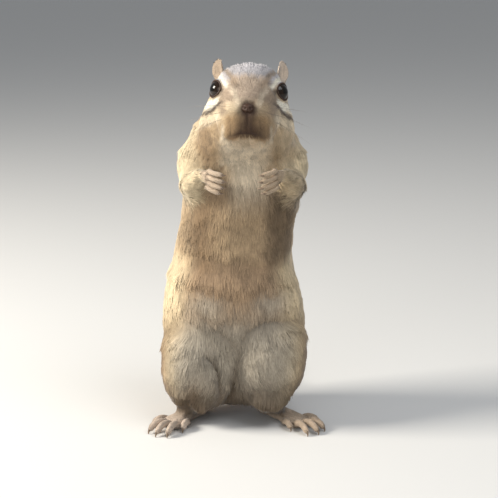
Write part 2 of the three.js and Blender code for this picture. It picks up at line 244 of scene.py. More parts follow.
def grid_triangles(rows, ring):
    """Triangles of a closed tube of rings with a pole before the first ring and one after the last."""
    i = np.arange(ring)
    after = (i + 1) % ring
    last = 1 + rows * ring
    start = np.stack([np.zeros(ring, int), 1 + after, 1 + i], axis=1)
    end = np.stack([np.full(ring, last), last - ring + i, last - ring + after], axis=1)
    base = 1 + ring * np.arange(rows - 1)[:, None]
    near, far = (base + i).ravel(), (base + after).ravel()
    sides = [np.stack([near, far, far + ring], axis=1), np.stack([near, far + ring, near + ring], axis=1)]
    return np.concatenate([start, end, *sides])


def carried(knots, reaches, across, rows=16, ring=16, ends=(0.1, 0.1), power=2.0):
    """An oval profile carried along a smooth path and closed by a pole at each end.

    reaches gives at each knot how far the oval goes to both sides, over and under the path. At an angle its
    point is those reaches times cosine and sine, each raised to 2 / power: 2 is an ellipse, and more is
    squarer. Near each end the oval shrinks as a quarter circle does, and its rings stand closer together.
    """
    even = np.linspace(0, 1, rows + 1)
    shares = even + 0.7 * ((1 - np.cos(np.pi * even)) / 2 - even)
    centre, ahead = along_path(np.asarray(knots, float), shares)
    reach, _ = along_path(np.asarray(reaches, float), shares)
    near, far = (np.minimum(s / end, 1) for s, end in zip((shares, 1 - shares), ends))
    dome = np.sqrt(1 - (1 - near) ** 2) * np.sqrt(1 - (1 - far) ** 2)
    reach = reach * dome[:, None]
    side = unit(across - ahead * dots(ahead, across))
    over = np.cross(ahead, side)
    angle = 2 * np.pi * np.arange(ring) / ring
    c, s = (np.sign(f(angle)) * np.abs(f(angle)) ** (2 / power) for f in (np.cos, np.sin))
    tall = np.where(s > 0, reach[:, 1:2], reach[:, 2:3]) * s
    grid = centre[:, None] + side[:, None] * (c * reach[:, :1])[..., None] + over[:, None] * tall[..., None]
    points = np.vstack([centre[:1], grid[1:-1].reshape(-1, 3), centre[-1:]])
    return points, grid_triangles(rows - 1, ring)


def joined(shells):
    """Several shells as one: points, triangles, and for each point the number of its shell."""
    starts = np.cumsum([0] + [len(points) for points, _ in shells[:-1]])
    points = np.concatenate([points for points, _ in shells])
    triangles = np.concatenate([triangles + start for (_, triangles), start in zip(shells, starts)])
    owner = np.repeat(np.arange(len(shells)), [len(points) for points, _ in shells])
    return points, triangles, owner


def add_values(mesh, name, kind, values):
    """Stores one value for each point of a mesh. kind is FLOAT, FLOAT_VECTOR, FLOAT_COLOR or INT."""
    slot = {"FLOAT_VECTOR": "vector", "FLOAT_COLOR": "color"}.get(kind, "value")
    if kind == "FLOAT_COLOR":
        values = np.column_stack([values, np.ones(len(values))])
    number = np.int32 if kind == "INT" else np.float32
    mesh.attributes.new(name, kind, "POINT").data.foreach_set(slot, np.ravel(values).astype(number))


def taken_values(mesh, name, width):
    """The values of an attribute, which is then removed from the mesh."""
    attribute = mesh.attributes[name]
    slot = "vector" if width == 3 else "value"
    values = read(attribute.data, slot, width, np.int32 if attribute.data_type == "INT" else np.float64)
    mesh.attributes.remove(attribute)
    return values


def new_piece(name, points, triangles, material=None):
    """A mesh object from plan points, smooth shaded, its place in its mesh and in metres."""
    mesh = bpy.data.meshes.new(name)
    mesh.vertices.add(len(points))
    mesh.vertices.foreach_set("co", ((points - PLAN_SHIFT) * MM).ravel().astype(np.float32))
    mesh.loops.add(triangles.size)
    mesh.loops.foreach_set("vertex_index", triangles.ravel().astype(np.int32))
    mesh.polygons.add(len(triangles))
    mesh.polygons.foreach_set("loop_start", np.arange(0, triangles.size, 3, dtype=np.int32))
    mesh.update(calc_edges=True)
    mesh.shade_smooth()
    piece = bpy.data.objects.new(name, mesh)
    bpy.context.scene.collection.objects.link(piece)
    if material:
        mesh.materials.append(material)
    return piece


def plan_points(mesh):
    """A mesh's points in the plan: its metres over MM, moved back by the frame's shift."""
    return read(mesh.vertices, "co", 3) / MM + PLAN_SHIFT


def corners_of(mesh):
    """The three corners of each triangle of a mesh."""
    mesh.calc_loop_triangles()
    return read(mesh.loop_triangles, "vertices", 3, np.int32)


# ---- flesh -----------------------------------------------------------------------------------------

FLESH_NODES = ["head", "neck", "thorax", "abdomen"] + [
    f"{part}_{side}" for part in ("upper_arm", "forearm", "thigh", "shank") for side in SIDES
]
HIDDEN_NODES = FLESH_NODES + ["nose", "tail_base", "tail_middle", "tail_tip"] + [
    f"{part}_{side}" for part in ("ear", "hand", "foot") for side in SIDES
]
VOXEL = 0.72

# Each region's hair: its length, how far it stands off the skin in degrees and its lock's width. Then how
# deep the skin lies under the coat, and how far the mass swells and shrinks again to round its creases.
REGIONS = {
    "head": (2.8, 12, 0.25, 0.35, 1.2),
    "neck": (4.0, 11, 0.30, 0.5, 3.2),
    "thorax": (4.6, 10, 0.32, 0.5, 2.8),
    "abdomen": (5.2, 10, 0.34, 0.5, 2.2),
    "upper_arm": (3.8, 11, 0.30, 0.4, 3.4),
    "forearm": (2.8, 11, 0.26, 0.4, 2.0),
    "thigh": (4.8, 10, 0.34, 0.3, 1.6),
    "shank": (3.4, 12, 0.30, 0.4, 1.2),
    "tail": (11.0, 24, 0.42, 0.4, 0.0),
    "palm": (1.2, 10, 0.19, 0.1, 0.0),
    "sole": (1.4, 10, 0.21, 0.1, 0.0),
    "ear": (0.8, 8, 0.17, 0.0, 0.0),
    "finger": (0.8, 9, 0.15, 0.0, 0.0),
    "toe": (0.9, 9, 0.17, 0.0, 0.0),
    "bare": (0.0, 0, 0.10, 0.0, 0.0),
}
REGION_NAMES = list(REGIONS)
SHARES = np.array(list(REGIONS.values()))


def region(name):
    """A region's number."""
    return REGION_NAMES.index(name)


def is_in(owner, *names):
    """True at each point that one of the named regions owns."""
    return np.isin(owner, [region(name) for name in names])


def flesh_shell(node, name):
    """A CAD node's closed surface, its doubled corners merged, swollen by its region's own amount."""
    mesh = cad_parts[node].data
    corners = plan_points(mesh)
    triangles = corners_of(mesh)
    _, first, same = np.unique(np.round(corners * 1000), axis=0, return_index=True, return_inverse=True)
    points, triangles = corners[first], same.reshape(-1)[triangles]
    return points + SHARES[region(name), 4] * corner_normals(points, triangles), triangles


def ball(centre, radius, rows=16, ring=20):
    """A sphere: an oval profile carried along its own diameter."""
    ends = vector(*centre) + np.array([[-radius, 0, 0], [0, 0, 0], [radius, 0, 0]])
    return carried(ends, np.full((3, 3), radius), vector(0, 0, 1), rows, ring, ends=(0.5, 0.5))


class Hand:
    """A forepaw's wrist and three directions: in and forward, out of its back, and across the knuckles."""

    def __init__(self, side):
        self.wrist = WRIST * vector(side, 1, 1) + CHEST_SHIFT
        self.ahead = unit(vector(side * -0.7, -0.66, -0.26))
        self.spread = unit(vector(side * -0.12, -0.26, 0.96))
        self.back = unit(np.cross(self.spread, self.ahead) * side)

    def place(self, ahead, up=0.0):
        """The wrist, plus so much ahead and so much across the knuckles."""
        return self.wrist + ahead * self.ahead + up * self.spread

    def palm(self):
        """An oval profile from the wrist to the knuckles that widens and flattens as it goes."""
        knots = [self.place(-2.5), self.place(-0.6), self.place(2.4), self.place(5.2)]
        reaches = [[2.1, 2.0, 2.0], [2.2, 2.0, 2.0], [2.9, 1.7, 1.8], [3.7, 1.5, 1.6]]
        return carried(knots, reaches, self.spread, rows=20, ring=24, ends=(0.1, 0.25))

    def digits(self):
        """Each finger, fanned out across the knuckles. The two outer ones are shorter."""
        for up in (-2.9, -1, 0.9, 2.8):
            heading = self.ahead + up * 0.03 * self.spread + 0.12 * self.back
            root = self.place(4.0, up)
            length = 6.2 if abs(up) > 2 else 7.0
            yield Digit(root, heading, self.back, length, radius=0.79, curl=0.3, claw=1.4)


class Foot:
    """A hind foot's heel and its directions: towards the toes, and towards its outer edge."""

    def __init__(self, name):
        turn = SPLAY[name]
        self.heel = HEELS[name]
        self.side = SIDES[name]
        self.ahead = vector(np.sin(turn), -np.cos(turn), 0)
        self.outer = vector(np.cos(turn), np.sin(turn), 0) * self.side

    def place(self, ahead, out, up):
        """The heel, plus so much ahead, so much outwards and so much up."""
        return self.heel + ahead * self.ahead + out * self.outer + vector(0, 0, up)

    def sole(self):
        """A squarish oval profile from heel to ball that widens and flattens, cut flat by the floor."""
        places = ((-2.6, 0, 2.6), (3, 0, 2.9), (11, 0.1, 2.6), (18, 0.2, 2.3), (23.5, 0.2, 1.9))
        knots = [self.place(*place) for place in places]
        reaches = np.array([[2.4, 2.6, 2.6], [3.1, 3.6, 3.3], [3.2, 2.6, 3], [4.2, 2, 2.7], [4.7, 1.5, 2.3]])
        shape = {"rows": 40, "ring": 28, "ends": (0.1, 0.14), "power": 2.3}
        points, triangles = carried(knots, reaches - 0.15, self.outer * self.side, **shape)
        return off_floor(points, 0.1), triangles

    def digits(self):
        """Each toe, fanned out from the ball of the foot. The first and last start further back."""
        toes = [(-4, 17.5, 6.2), (-2.3, 21.6, 9.2), (0.1, 22.2, 9.8), (2.5, 21.6, 9.2), (4.3, 18.4, 7)]
        for out, ahead, length in toes:
            heading = self.ahead + 0.075 * out * self.outer + vector(0, 0, 0.42)
            root = self.place(ahead - 0.6, out, 1.9)
            yield Digit(root, heading, vector(0, 0, 1), length + 0.2, radius=1.08, curl=0.5, claw=2.0)


class Digit:
    """A finger or toe of three bones that arch over their middle, and the claw that hooks on from the tip."""

    def __init__(self, root, heading, arch, length, radius, curl, claw):
        self.arch, self.radius, self.claw = arch, radius, claw
        self.heading = unit(heading)
        self.hinge = unit(np.cross(self.heading, arch))
        direction, bones = self.heading, [root]
        for share in (0.36, 0.34, 0.3):
            bones.append(bones[-1] + share * length * direction)
            direction = turned(direction, self.hinge, -curl)
        self.bones, self.direction = np.array(bones), direction

    def flesh(self):
        """A nearly round profile along the bones, a little thicker at both middle joints."""
        knuckles = np.array([1.08, 1.0, 1.02, 0.84])[:, None] * [1.0, 1.0, 1.08]
        return carried(self.bones, knuckles * self.radius, self.hinge, rows=18, ring=14, ends=(0.05, 0.16))

    def nail(self):
        """Flat-sided and hooked: it leaves the tip along the last bone and bends down to a point."""
        base = self.bones[-1] - 0.9 * self.radius * self.direction + 0.25 * self.radius * self.arch
        bends = np.array([0, 0.45, 0.8, 1.12]) * (self.claw + 0.5)
        ways = [turned(self.direction, self.hinge, angle) for angle in (0.12, -0.15, -0.6)]
        knots = [base]
        for way, reach in zip(ways, np.diff(bends)):
            knots.append(knots[-1] + reach * way)
        reaches = [[0.42, 0.5, 0.45], [0.36, 0.46, 0.4], [0.24, 0.3, 0.28], [0.09, 0.1, 0.1]]
        return carried(knots, reaches, self.hinge, rows=12, ring=10, ends=(0.05, 0.12))


def turned(direction, axis, angle):
    """A direction turned about an axis square to it: it times the cosine, plus their cross times the sine."""
    return direction * np.cos(angle) + np.cross(axis, direction) * np.sin(angle)


def tail_core():
    """The tail's flesh, an oval profile along its line, far thinner than the brush of hair around it."""
    thick = np.array([4.6, 3.4, 2.7, 2.4, 2.0, 1.6, 1.0])[:, None] * [1.15, 1.0, 1.0]
    points, triangles = carried(TAIL_LINE, thick, vector(-1, 0, 0), rows=90, ring=20, ends=(0.03, 0.04))
    return off_floor(points, 0.6), triangles


def ear_root(side):
    """The middle of an ear's foot, a little out of the skull."""
    return on_head(sided(EAR_PLACE, side) + vector(0, 0, 0.4))


def ear(side):
    """A leaf bent to a cup.

    Its half-width is EAR_HALF times a cosine that runs from before its middle to the round tip. Across it the
    thin ellipse of its thickness rides on a parabola, so that both rims stand out before its middle.
    """
    root = ear_root(side)
    rise = unit(vector(side * 0.16, 0.34, 0.94))
    out_x, out_y = EAR_TURN
    across = unit(vector(side * out_y, out_x, 0))
    outward = unit(vector(side * out_x, -out_y, 0))
    rows, ring = 28, 36
    turn = np.linspace(-0.42, 1, rows + 1)[1:-1][:, None] * np.pi / 2
    angle = (2 * np.pi * np.arange(ring) / ring)[None]
    up = 0.42 + 0.58 * np.sin(turn)
    half = EAR_HALF * np.cos(turn) ** 0.95
    thick = 0.5 - 0.12 * up + 0.35 * smoothstep(0.35, 0, up)
    cup = EAR_CUP * (np.cos(angle) ** 2 * (half / EAR_HALF) ** 2 - 0.5) * smoothstep(0.02, 0.4, up)
    out = cup - thick * (0.35 + 0.65 * np.cos(turn)) * np.sin(angle) * side
    grid = root + (EAR_HEIGHT * up + 0 * angle)[..., None] * rise + (half * np.cos(angle))[..., None] * across
    grid = grid + out[..., None] * outward
    ends = [grid[0].mean(0) - 1.5 * rise, grid[-1].mean(0) + 0.02 * rise]
    return np.vstack([ends[:1], grid.reshape(-1, 3), ends[1:]]), grid_triangles(rows - 1, ring)


def nose_pad():
    """Bare skin at the tip of the muzzle: an ellipsoid with a nostril sunk in each side and a cleft below."""
    points, triangles = ball((0, 0, 0), 1, rows=30, ring=36)
    points = points * [2.0, 1.3, 1.5]
    left, ahead, up = points[:, 0], -points[:, 1], points[:, 2]
    nostril = np.exp(-(((np.abs(left) - 1.1) / 0.45) ** 2 + ((up + 0.1) / 0.34) ** 2)) * (ahead > 0)
    comma = np.exp(-(((np.abs(left) - 1.7) / 0.4) ** 2 + ((up - 0.2) / 0.25) ** 2)) * (ahead > -0.6)
    cleft = bell(left, 0.16) * smoothstep(0.2, -0.6, up)
    sunk = 0.85 * nostril + 0.4 * comma + 0.3 * cleft
    points = points * (1 - sunk[:, None] / 1.7)
    place = on_head(NOSE_PLACE)
    return place - points[:, 1:2] * AHEAD + points[:, 2:] * SKULLWARD + points[:, :1] * CHEEKWARD, triangles


class Eye:
    """An eye's centre, the way it looks, and the half-angle of its opening all round."""

    def __init__(self, side):
        self.side = side
        self.centre = on_head(sided(EYE_PLACE, side))
        self.look = unit(vector(0.5, 0.2, 0.86 * side) @ HEAD_AXES)
        self.up = unit(SKULLWARD - self.look * (SKULLWARD @ self.look))
        self.fore = np.cross(self.up, self.look) * -side

    def opening(self, round_angle):
        """Half-angle of the opening: 45 degrees, up to 8 more at its front and back corners, 4 less above."""
        corner = np.abs(np.cos(round_angle)) ** 3
        return np.radians(45 + 8 * corner - 4 * bell(round_angle - np.pi / 2, 0.7))

    def direction(self, off_axis, round_angle):
        """The way the eye looks times the cosine of the angle off it, plus the way round times its sine."""
        ring = np.cos(round_angle)[..., None] * self.fore + np.sin(round_angle)[..., None] * self.up
        return np.cos(off_axis)[..., None] * self.look + np.sin(off_axis)[..., None] * ring

    def angles(self, points):
        """Distance from the eye's centre, angle off the way it looks, and angle round it from the front."""
        off = points - self.centre
        far = np.linalg.norm(off, axis=1)
        off = off / far[:, None]
        return far, np.arccos(np.clip(off @ self.look, -1, 1)), np.arctan2(off @ self.up, off @ self.fore)

    def lids(self):
        """A thin roll of bare dark skin, a circle carried round the opening, close on the eyeball."""
        turns, ring, thick = 72, 10, 0.3
        round_angle = (2 * np.pi * np.arange(turns) / turns)[:, None]
        profile = (2 * np.pi * np.arange(ring) / ring)[None]
        off_axis = self.opening(round_angle) + 0.02 + thick / EYE_RADIUS * np.cos(profile)
        far = EYE_RADIUS + 0.12 + thick * np.sin(profile)
        points = self.centre + far[..., None] * self.direction(off_axis, round_angle + 0 * profile)
        a = np.arange(turns * ring).reshape(turns, ring)
        b, d = np.roll(a, -1, axis=1), np.roll(a, -1, axis=0)
        c = np.roll(b, -1, axis=0)
        halves = [np.stack([a, b, c], axis=-1), np.stack([a, c, d], axis=-1)]
        triangles = np.concatenate(halves).reshape(-1, 3)
        return points.reshape(-1, 3), triangles if self.side < 0 else triangles[:, ::-1]


def remeshed(shells):
    """Closed shells that run into each other as one even surface of small faces, and each point's region."""
    points, triangles, owner = joined([(p, t) for p, t, _ in shells])
    piece = new_piece("flesh", points, triangles)
    mesh = piece.data
    add_values(mesh, "region", "INT", np.array([region(name) for _, _, name in shells])[owner])
    mesh.remesh_voxel_size = VOXEL * MM
    mesh.use_remesh_fix_poles = False
    mesh.use_remesh_preserve_attributes = True
    bpy.context.view_layer.objects.active = piece
    piece.select_set(True)
    bpy.ops.object.voxel_remesh()
    found = plan_points(piece.data), corners_of(piece.data), taken_values(piece.data, "region", 1)[:, 0]
    bpy.data.objects.remove(piece)
    return found


def set_round_eyes(points):
    """Moves the skin to a set distance from each eye's centre: inside the eyeball under the opening, a little
    outside it at the rim, and less and less changed from there out into the face."""
    for side in SIDES.values():
        eye = Eye(side)
        far, off_axis, round_angle = eye.angles(points)
        past = off_axis - eye.opening(round_angle)
        rim = EYE_RADIUS + 0.2 - 0.95 * smoothstep(0.02, -0.12, past)
        hold = 1 - smoothstep(0.08, 0.7, past)
        near = far < EYE_RADIUS + 4.5
        wanted = np.where(near, far + hold * (rim - far), far)
        points = eye.centre + (points - eye.centre) * (wanted / far)[:, None]
    return points


def mouth_height(left):
    """Height of the line between the lips, a parabola that falls towards the mouth's corners."""
    return -9.3 - 0.036 * left**2


def carved_face(points, normals):
    """Sinks the skin along its normals at the mouth line, the lower lip, the cleft under the nose and the
    fold where each pouch meets the muzzle: bells across them, times soft steps at their ends."""
    before, above, left = head_places(points).T
    wide = np.abs(left)
    low = above - mouth_height(left)
    front = smoothstep(27, 32, before)
    mouth = bell(low, 0.4) * front * smoothstep(9, 4.5, wide)
    lip = smoothstep(0.2, -0.8, low) * smoothstep(-7, -2.5, low) * smoothstep(29, 34, before)
    cleft = bell(left, 0.4) * smoothstep(34, 36, before) * smoothstep(-2.5, -3.5, above)
    cleft = cleft * smoothstep(-0.2, 0.6, low)
    fold = bell(before - 29.5 + 0.4 * (above + 7), 1.4) * bell(above + 7, 3.6) * smoothstep(5, 8, wide)
    return points - normals * (0.45 * mouth + 0.6 * lip + 0.3 * cleft + 0.7 * fold)[:, None]


# Folds of the lower belly and haunches from the front: places across and above the floor at each knot of a
# line over the skin, then how deep the fold is at its first and last knot and how far it spreads.
FOLDS = (
    ([(2.5, 34), (1.8, 28), (0.8, 21), (-0.4, 14), (-3, 8)], (0.35, 2.0), 0.8),
    ([(-10.9, 31), (-8, 28), (-5.7, 22.8), (-4.9, 16.5), (-4.4, 9)], (1.7, 0.6), 0.75),
    ([(-13, 46.5), (-10, 43), (-7.2, 40.2), (-3.8, 37.3), (-0.5, 34.5), (1.8, 31)], (0.7, 0.5), 1.2),
    ([(2.6, 33), (4.4, 37), (7.6, 40.3), (12, 41.8), (17, 41.2), (22, 40.4)], (0.5, 0.7), 1.2),
    ([(-17.6, 12.5), (-16.6, 10.5), (-16, 8.5)], (1.0, 1.3), 1.3),
)


def fold_depth(points):
    """How far each point of the body's front sinks: a fold's depth times a bell of the gap to its line."""
    depth = np.zeros(len(points))
    front = smoothstep(2, -6, points[:, 1])
    shares = np.linspace(0, 1, 49)
    fades = np.minimum(1, np.minimum(6 * shares + 0.1, 6 * (1 - shares) + 0.1))
    for knots, deep, spread in FOLDS:
        line, _ = along_path(np.array(knots, float), shares)
        for (x, z), here in zip(line, fades * np.interp(shares, [0, 1], deep)):
            gap = np.hypot(points[:, 0] - x, points[:, 2] - z)
            depth = np.maximum(depth, here * front * bell(gap, spread))
    return depth


def refined(points, triangles, owner, chosen):
    """Halves the chosen triangles' edges and splits their neighbours to match, so that no gap opens."""
    ends = np.sort(np.concatenate([triangles[:, [0, 1]], triangles[:, [1, 2]], triangles[:, [2, 0]]]), axis=1)
    edges, number = np.unique(ends, axis=0, return_inverse=True)
    number = number.reshape(3, -1).T
    split = np.zeros(len(edges), bool)
    split[number[chosen].ravel()] = True
    while (split[number].sum(axis=1) == 2).any():
        split[number[split[number].sum(axis=1) == 2].ravel()] = True
    fresh = len(points) + np.cumsum(split) - 1
    pair = edges[split]
    points = np.vstack([points, points[pair].mean(axis=1)])
    owner = np.concatenate([owner, owner[pair[:, 0]]])
    cuts = split[number].sum(axis=1)
    made = [triangles[cuts == 0]]
    a, b, c = triangles[cuts == 3].T
    ab, bc, ca = fresh[number[cuts == 3]].T
    made += [np.stack(corners, axis=1) for corners in ((a, ab, ca), (ab, b, bc), (ca, bc, c), (ab, bc, ca))]
    for k in range(3):
        here = (cuts == 1) & split[number[:, k]]
        a, b, c = np.roll(triangles[here], -k, axis=1).T
        halfway = fresh[number[here, k]]
        made += [np.stack([a, halfway, c], axis=1), np.stack([halfway, b, c], axis=1)]
    return points, np.concatenate(made), owner


def body_shell():
    """The masses of flesh as one smooth surface with its regions.

    The masses are swollen, joined and smoothed, then shrunk by as much and by the coat's depth, which leaves
    a rounded crease wherever two of them meet. The face is then cut finer, and its features and the folds are
    set in.
    """
    shells = []
    for mass in FLESH_NODES:
        name = mass.removesuffix("_right").removesuffix("_left")
        shells.append((*flesh_shell(mass, name), name))
    for name, side in SIDES.items():
        shells.append((*ball(Eye(side).centre, EYE_RADIUS), "head"))
        shells.append((*Hand(side).palm(), "palm"))
        shells.append((*Foot(name).sole(), "sole"))
    shells.append((*tail_core(), "tail"))
    points, triangles, owner = remeshed(shells)
    edges = edges_of(triangles)
    soft = is_in(owner, "neck", "thorax", "abdomen", "thigh", "upper_arm")
    loose = np.select([soft, is_in(owner, "head", "forearm", "shank")], [1.0, 0.6], 0.15)
    loose = relaxed(loose[:, None], edges, 8)
    points = relaxed(points, edges, 16, 0.6 * loose)
    depth = relaxed(SHARES[owner, 3:4] + SHARES[owner, 4:5], edges, 16)
    before = head_places(points)[:, 0]
    depth[:, 0] -= 0.3 * smoothstep(24, 34, before) * is_in(owner, "head")
    for _ in range(6):
        points = points - depth / 6 * corner_normals(points, triangles)
        points = relaxed(points, edges, 2, 0.4 * loose)
    before = head_places(points)[:, 0]
    face = is_in(owner, "head") & (before > 9)
    points, triangles, owner = refined(points, triangles, owner, face[triangles].all(axis=1))
    face = is_in(owner, "head")[:, None]
    points = relaxed(points, edges_of(triangles), 3, 0.5 * face)
    normals = corner_normals(points, triangles)
    points = carved_face(points, normals) - fold_depth(points)[:, None] * normals
    points = set_round_eyes(points)
    return points, triangles, owner


def skin_shells():
    """The one skin with its regions: the body, then the ears, digits, nose and lids that grow from it."""
    points, triangles, owner = body_shell()
    shells, regions = [(points, triangles)], [owner]
    grown = [(nose_pad(), "bare")]
    for name, side in SIDES.items():
        grown.append((ear(side), "ear"))
        grown.append((Eye(side).lids(), "bare"))
        grown += [(digit.flesh(), "finger") for digit in Hand(side).digits()]
        grown += [(digit.flesh(), "toe") for digit in Foot(name).digits()]
    for shell, name in grown:
        shells.append(shell)
        regions.append(np.full(len(shell[0]), region(name)))
    points, triangles, _ = joined(shells)
    return points, triangles, np.concatenate(regions)


# ---- lie of the coat ----------------------------------------------------------------------------------


def lie_of_coat(points, normals, owner, edges):
    """Which way the hair lies at each point: its region's bearing, such as back from the nose, down the trunk
    or out along a paw, less its part along the normal. The bearings are relaxed into one another."""
    above = head_places(points)[:, 1]
    side = np.where(points[:, :1] > CHEST_SHIFT[0], 1.0, -1.0)
    cheek = smoothstep(2, -8, above)[:, None]
    back = -AHEAD * (1 - 0.45 * cheek) - SKULLWARD * (0.1 + 0.8 * cheek) + 0.3 * side * CHEEKWARD * cheek
    start, end = TAIL_LINE[[0, -1], 1]
    _, tailward = along_path(TAIL_LINE, np.clip((points[:, 1] - start) / (end - start), 0, 1))
    bearings = {
        "head": back,
        "neck": vector(0, 0.35, -1),
        "thigh": vector(0, 0.3, -1) + side * vector(0.25, 0, 0),
        "shank": vector(0, -0.2, -1),
        "upper_arm": vector(0, -0.35, -1) + side * vector(0.1, 0, 0),
        "forearm": vector(0, -1, 0.1) - side * vector(0.35, 0, 0),
        "ear": vector(0, 0.3, 1),
        "tail": tailward,
    }
    for name, mark in SIDES.items():
        hand, foot = Hand(mark).ahead, Foot(name).ahead
        here = side == mark
        for part, bearing in {"palm": hand, "finger": hand, "sole": foot, "toe": foot}.items():
            bearings[part] = np.where(here, bearing, bearings.get(part, bearing))
    lie = np.tile(vector(0, 0, -1), (len(points), 1))
    for name, bearing in bearings.items():
        lie = np.where(is_in(owner, name)[:, None], bearing, lie)
    lie = unit(lie - normals * dots(lie, normals))
    body = ~is_in(owner, "ear", "finger", "toe", "bare")[:, None]
    for _ in range(16):
        lie = np.where(body, relaxed(lie, edges, 2), lie)
        lie = unit(lie - normals * dots(lie, normals))
    return lie


def bend_along(points, normals, lie, edges):
    """How sharply the skin curves along the lie of the coat, in radians a millimetre: the change of normal
    along each edge over the edge's length, the edges that follow the lie counting for most."""
    a, b = edges.T
    step = points[b] - points[a]
    squared = dots(step, step)
    curve = dots(normals[b] - normals[a], step) / np.maximum(squared, 1e-6)
    total = np.zeros((len(points), 1))
    weight = np.full((len(points), 1), 1e-6)
    for end in (a, b):
        share = dots(lie[end], step) ** 4 / np.maximum(squared, 1e-6) ** 2
        total[:, 0] += np.bincount(end, (share * curve)[:, 0], len(points))
        weight[:, 0] += np.bincount(end, share[:, 0], len(points))
    return np.clip(relaxed(total / weight, edges, 6), -0.02, 0.14)


# ---- coat colours, painted shade and painted light ----------------------------------------------------


# Face stripes as lines over the head: a stripe's tone, then distance before the back of the skull, height
# above the head's axis and distance to the side at each knot, then its half-width, softness and strength.
FACE_LINES = (
    ("throat", [(36.4, -3.7, 7.8), (25.2, -4.3, 12), (17, -5.4, 15), (8, -6, 16.5)], 1.0, 3.4, 0.7),
    ("throat", [(37, -6.5, 7.6), (34.5, -9.2, 8), (29, -11.2, 8.8)], 0.7, 1.2, 0.7),
    ("throat", [(30, 5.2, 5.6), (33, 3.4, 4.6), (36.5, 1, 3.6), (38.4, -1, 3)], 0.8, 1.4, 0.5),
    (
        "pale",
        [(12, 10.6, 11), (18.7, 10, 10.4), (23.2, 8.8, 9.1), (26.1, 7, 7.7), (28.6, 5.2, 7)],
        0.9,
        0.9,
        1.0,
    ),
    ("brown_and_ear_shade", [(27.6, 4.6, 7.8), (31, 3, 6.8), (35, 0.8, 5.6)], 1.2, 1.5, 0.75),
    ("brown_and_ear_shade", [(25.2, 3, 9.4), (29, 1.2, 8.6), (33, -0.8, 7.7), (36.5, -3, 6.6)], 1.7, 1.5, 0.8),
    (
        "pale",
        [(28, 1.3, 9.5), (25.5, 1.1, 10.4), (21, 0.7, 12.4), (16.2, 0.1, 14.2), (9, -0.6, 15.5)],
        1.5,
        0.8,
        1.0,
    ),
    (
        "dark",
        [(32, 0.7, 8), (28.3, -0.6, 10), (24.4, -1.7, 12), (18.5, -2.5, 14.4), (12, -3.9, 16)],
        0.65,
        0.75,
        0.95,
    ),
    ("dark", [(23, 5.6, 9.6), (26, 4.9, 8.8), (29, 4.0, 7.8)], 0.7, 1.1, 0.75),
    ("dark", [(17, 7.6, 12), (13.5, 8, 12), (10, 8.4, 12)], 0.9, 1.0, 0.9),
    (
        "brown_and_ear_shade",
        [(12, 12.4, 8.7), (19, 11.6, 7.8), (25.3, 9.2, 5.7), (28.5, 7, 4.6), (31.5, 5.2, 3.4)],
        0.9,
        1.3,
        0.85,
    ),
)


def face_line(points, knots, half, soft):
    """1 within half of a line over the head, fading to 0 over soft and towards the line's ends. The line's
    places are first moved to the nearest skin."""
    shares = np.linspace(0, 1, 41)
    line, _ = along_path(np.array(knots, float), shares)
    places = head_places(points)
    places[:, 2] = np.abs(places[:, 2])
    nearest = np.stack([places[np.argmin(np.sum((places - knot) ** 2, axis=1))] for knot in line])
    stripe = np.zeros(len(points))
    for knot, share in zip(nearest, shares):
        gap = np.linalg.norm(places - knot, axis=1)
        fade = min(1, 8 * share + 0.15, 8 * (1 - share) + 0.15)
        stripe = np.maximum(stripe, fade * band(gap, 0, half, soft))
    return stripe


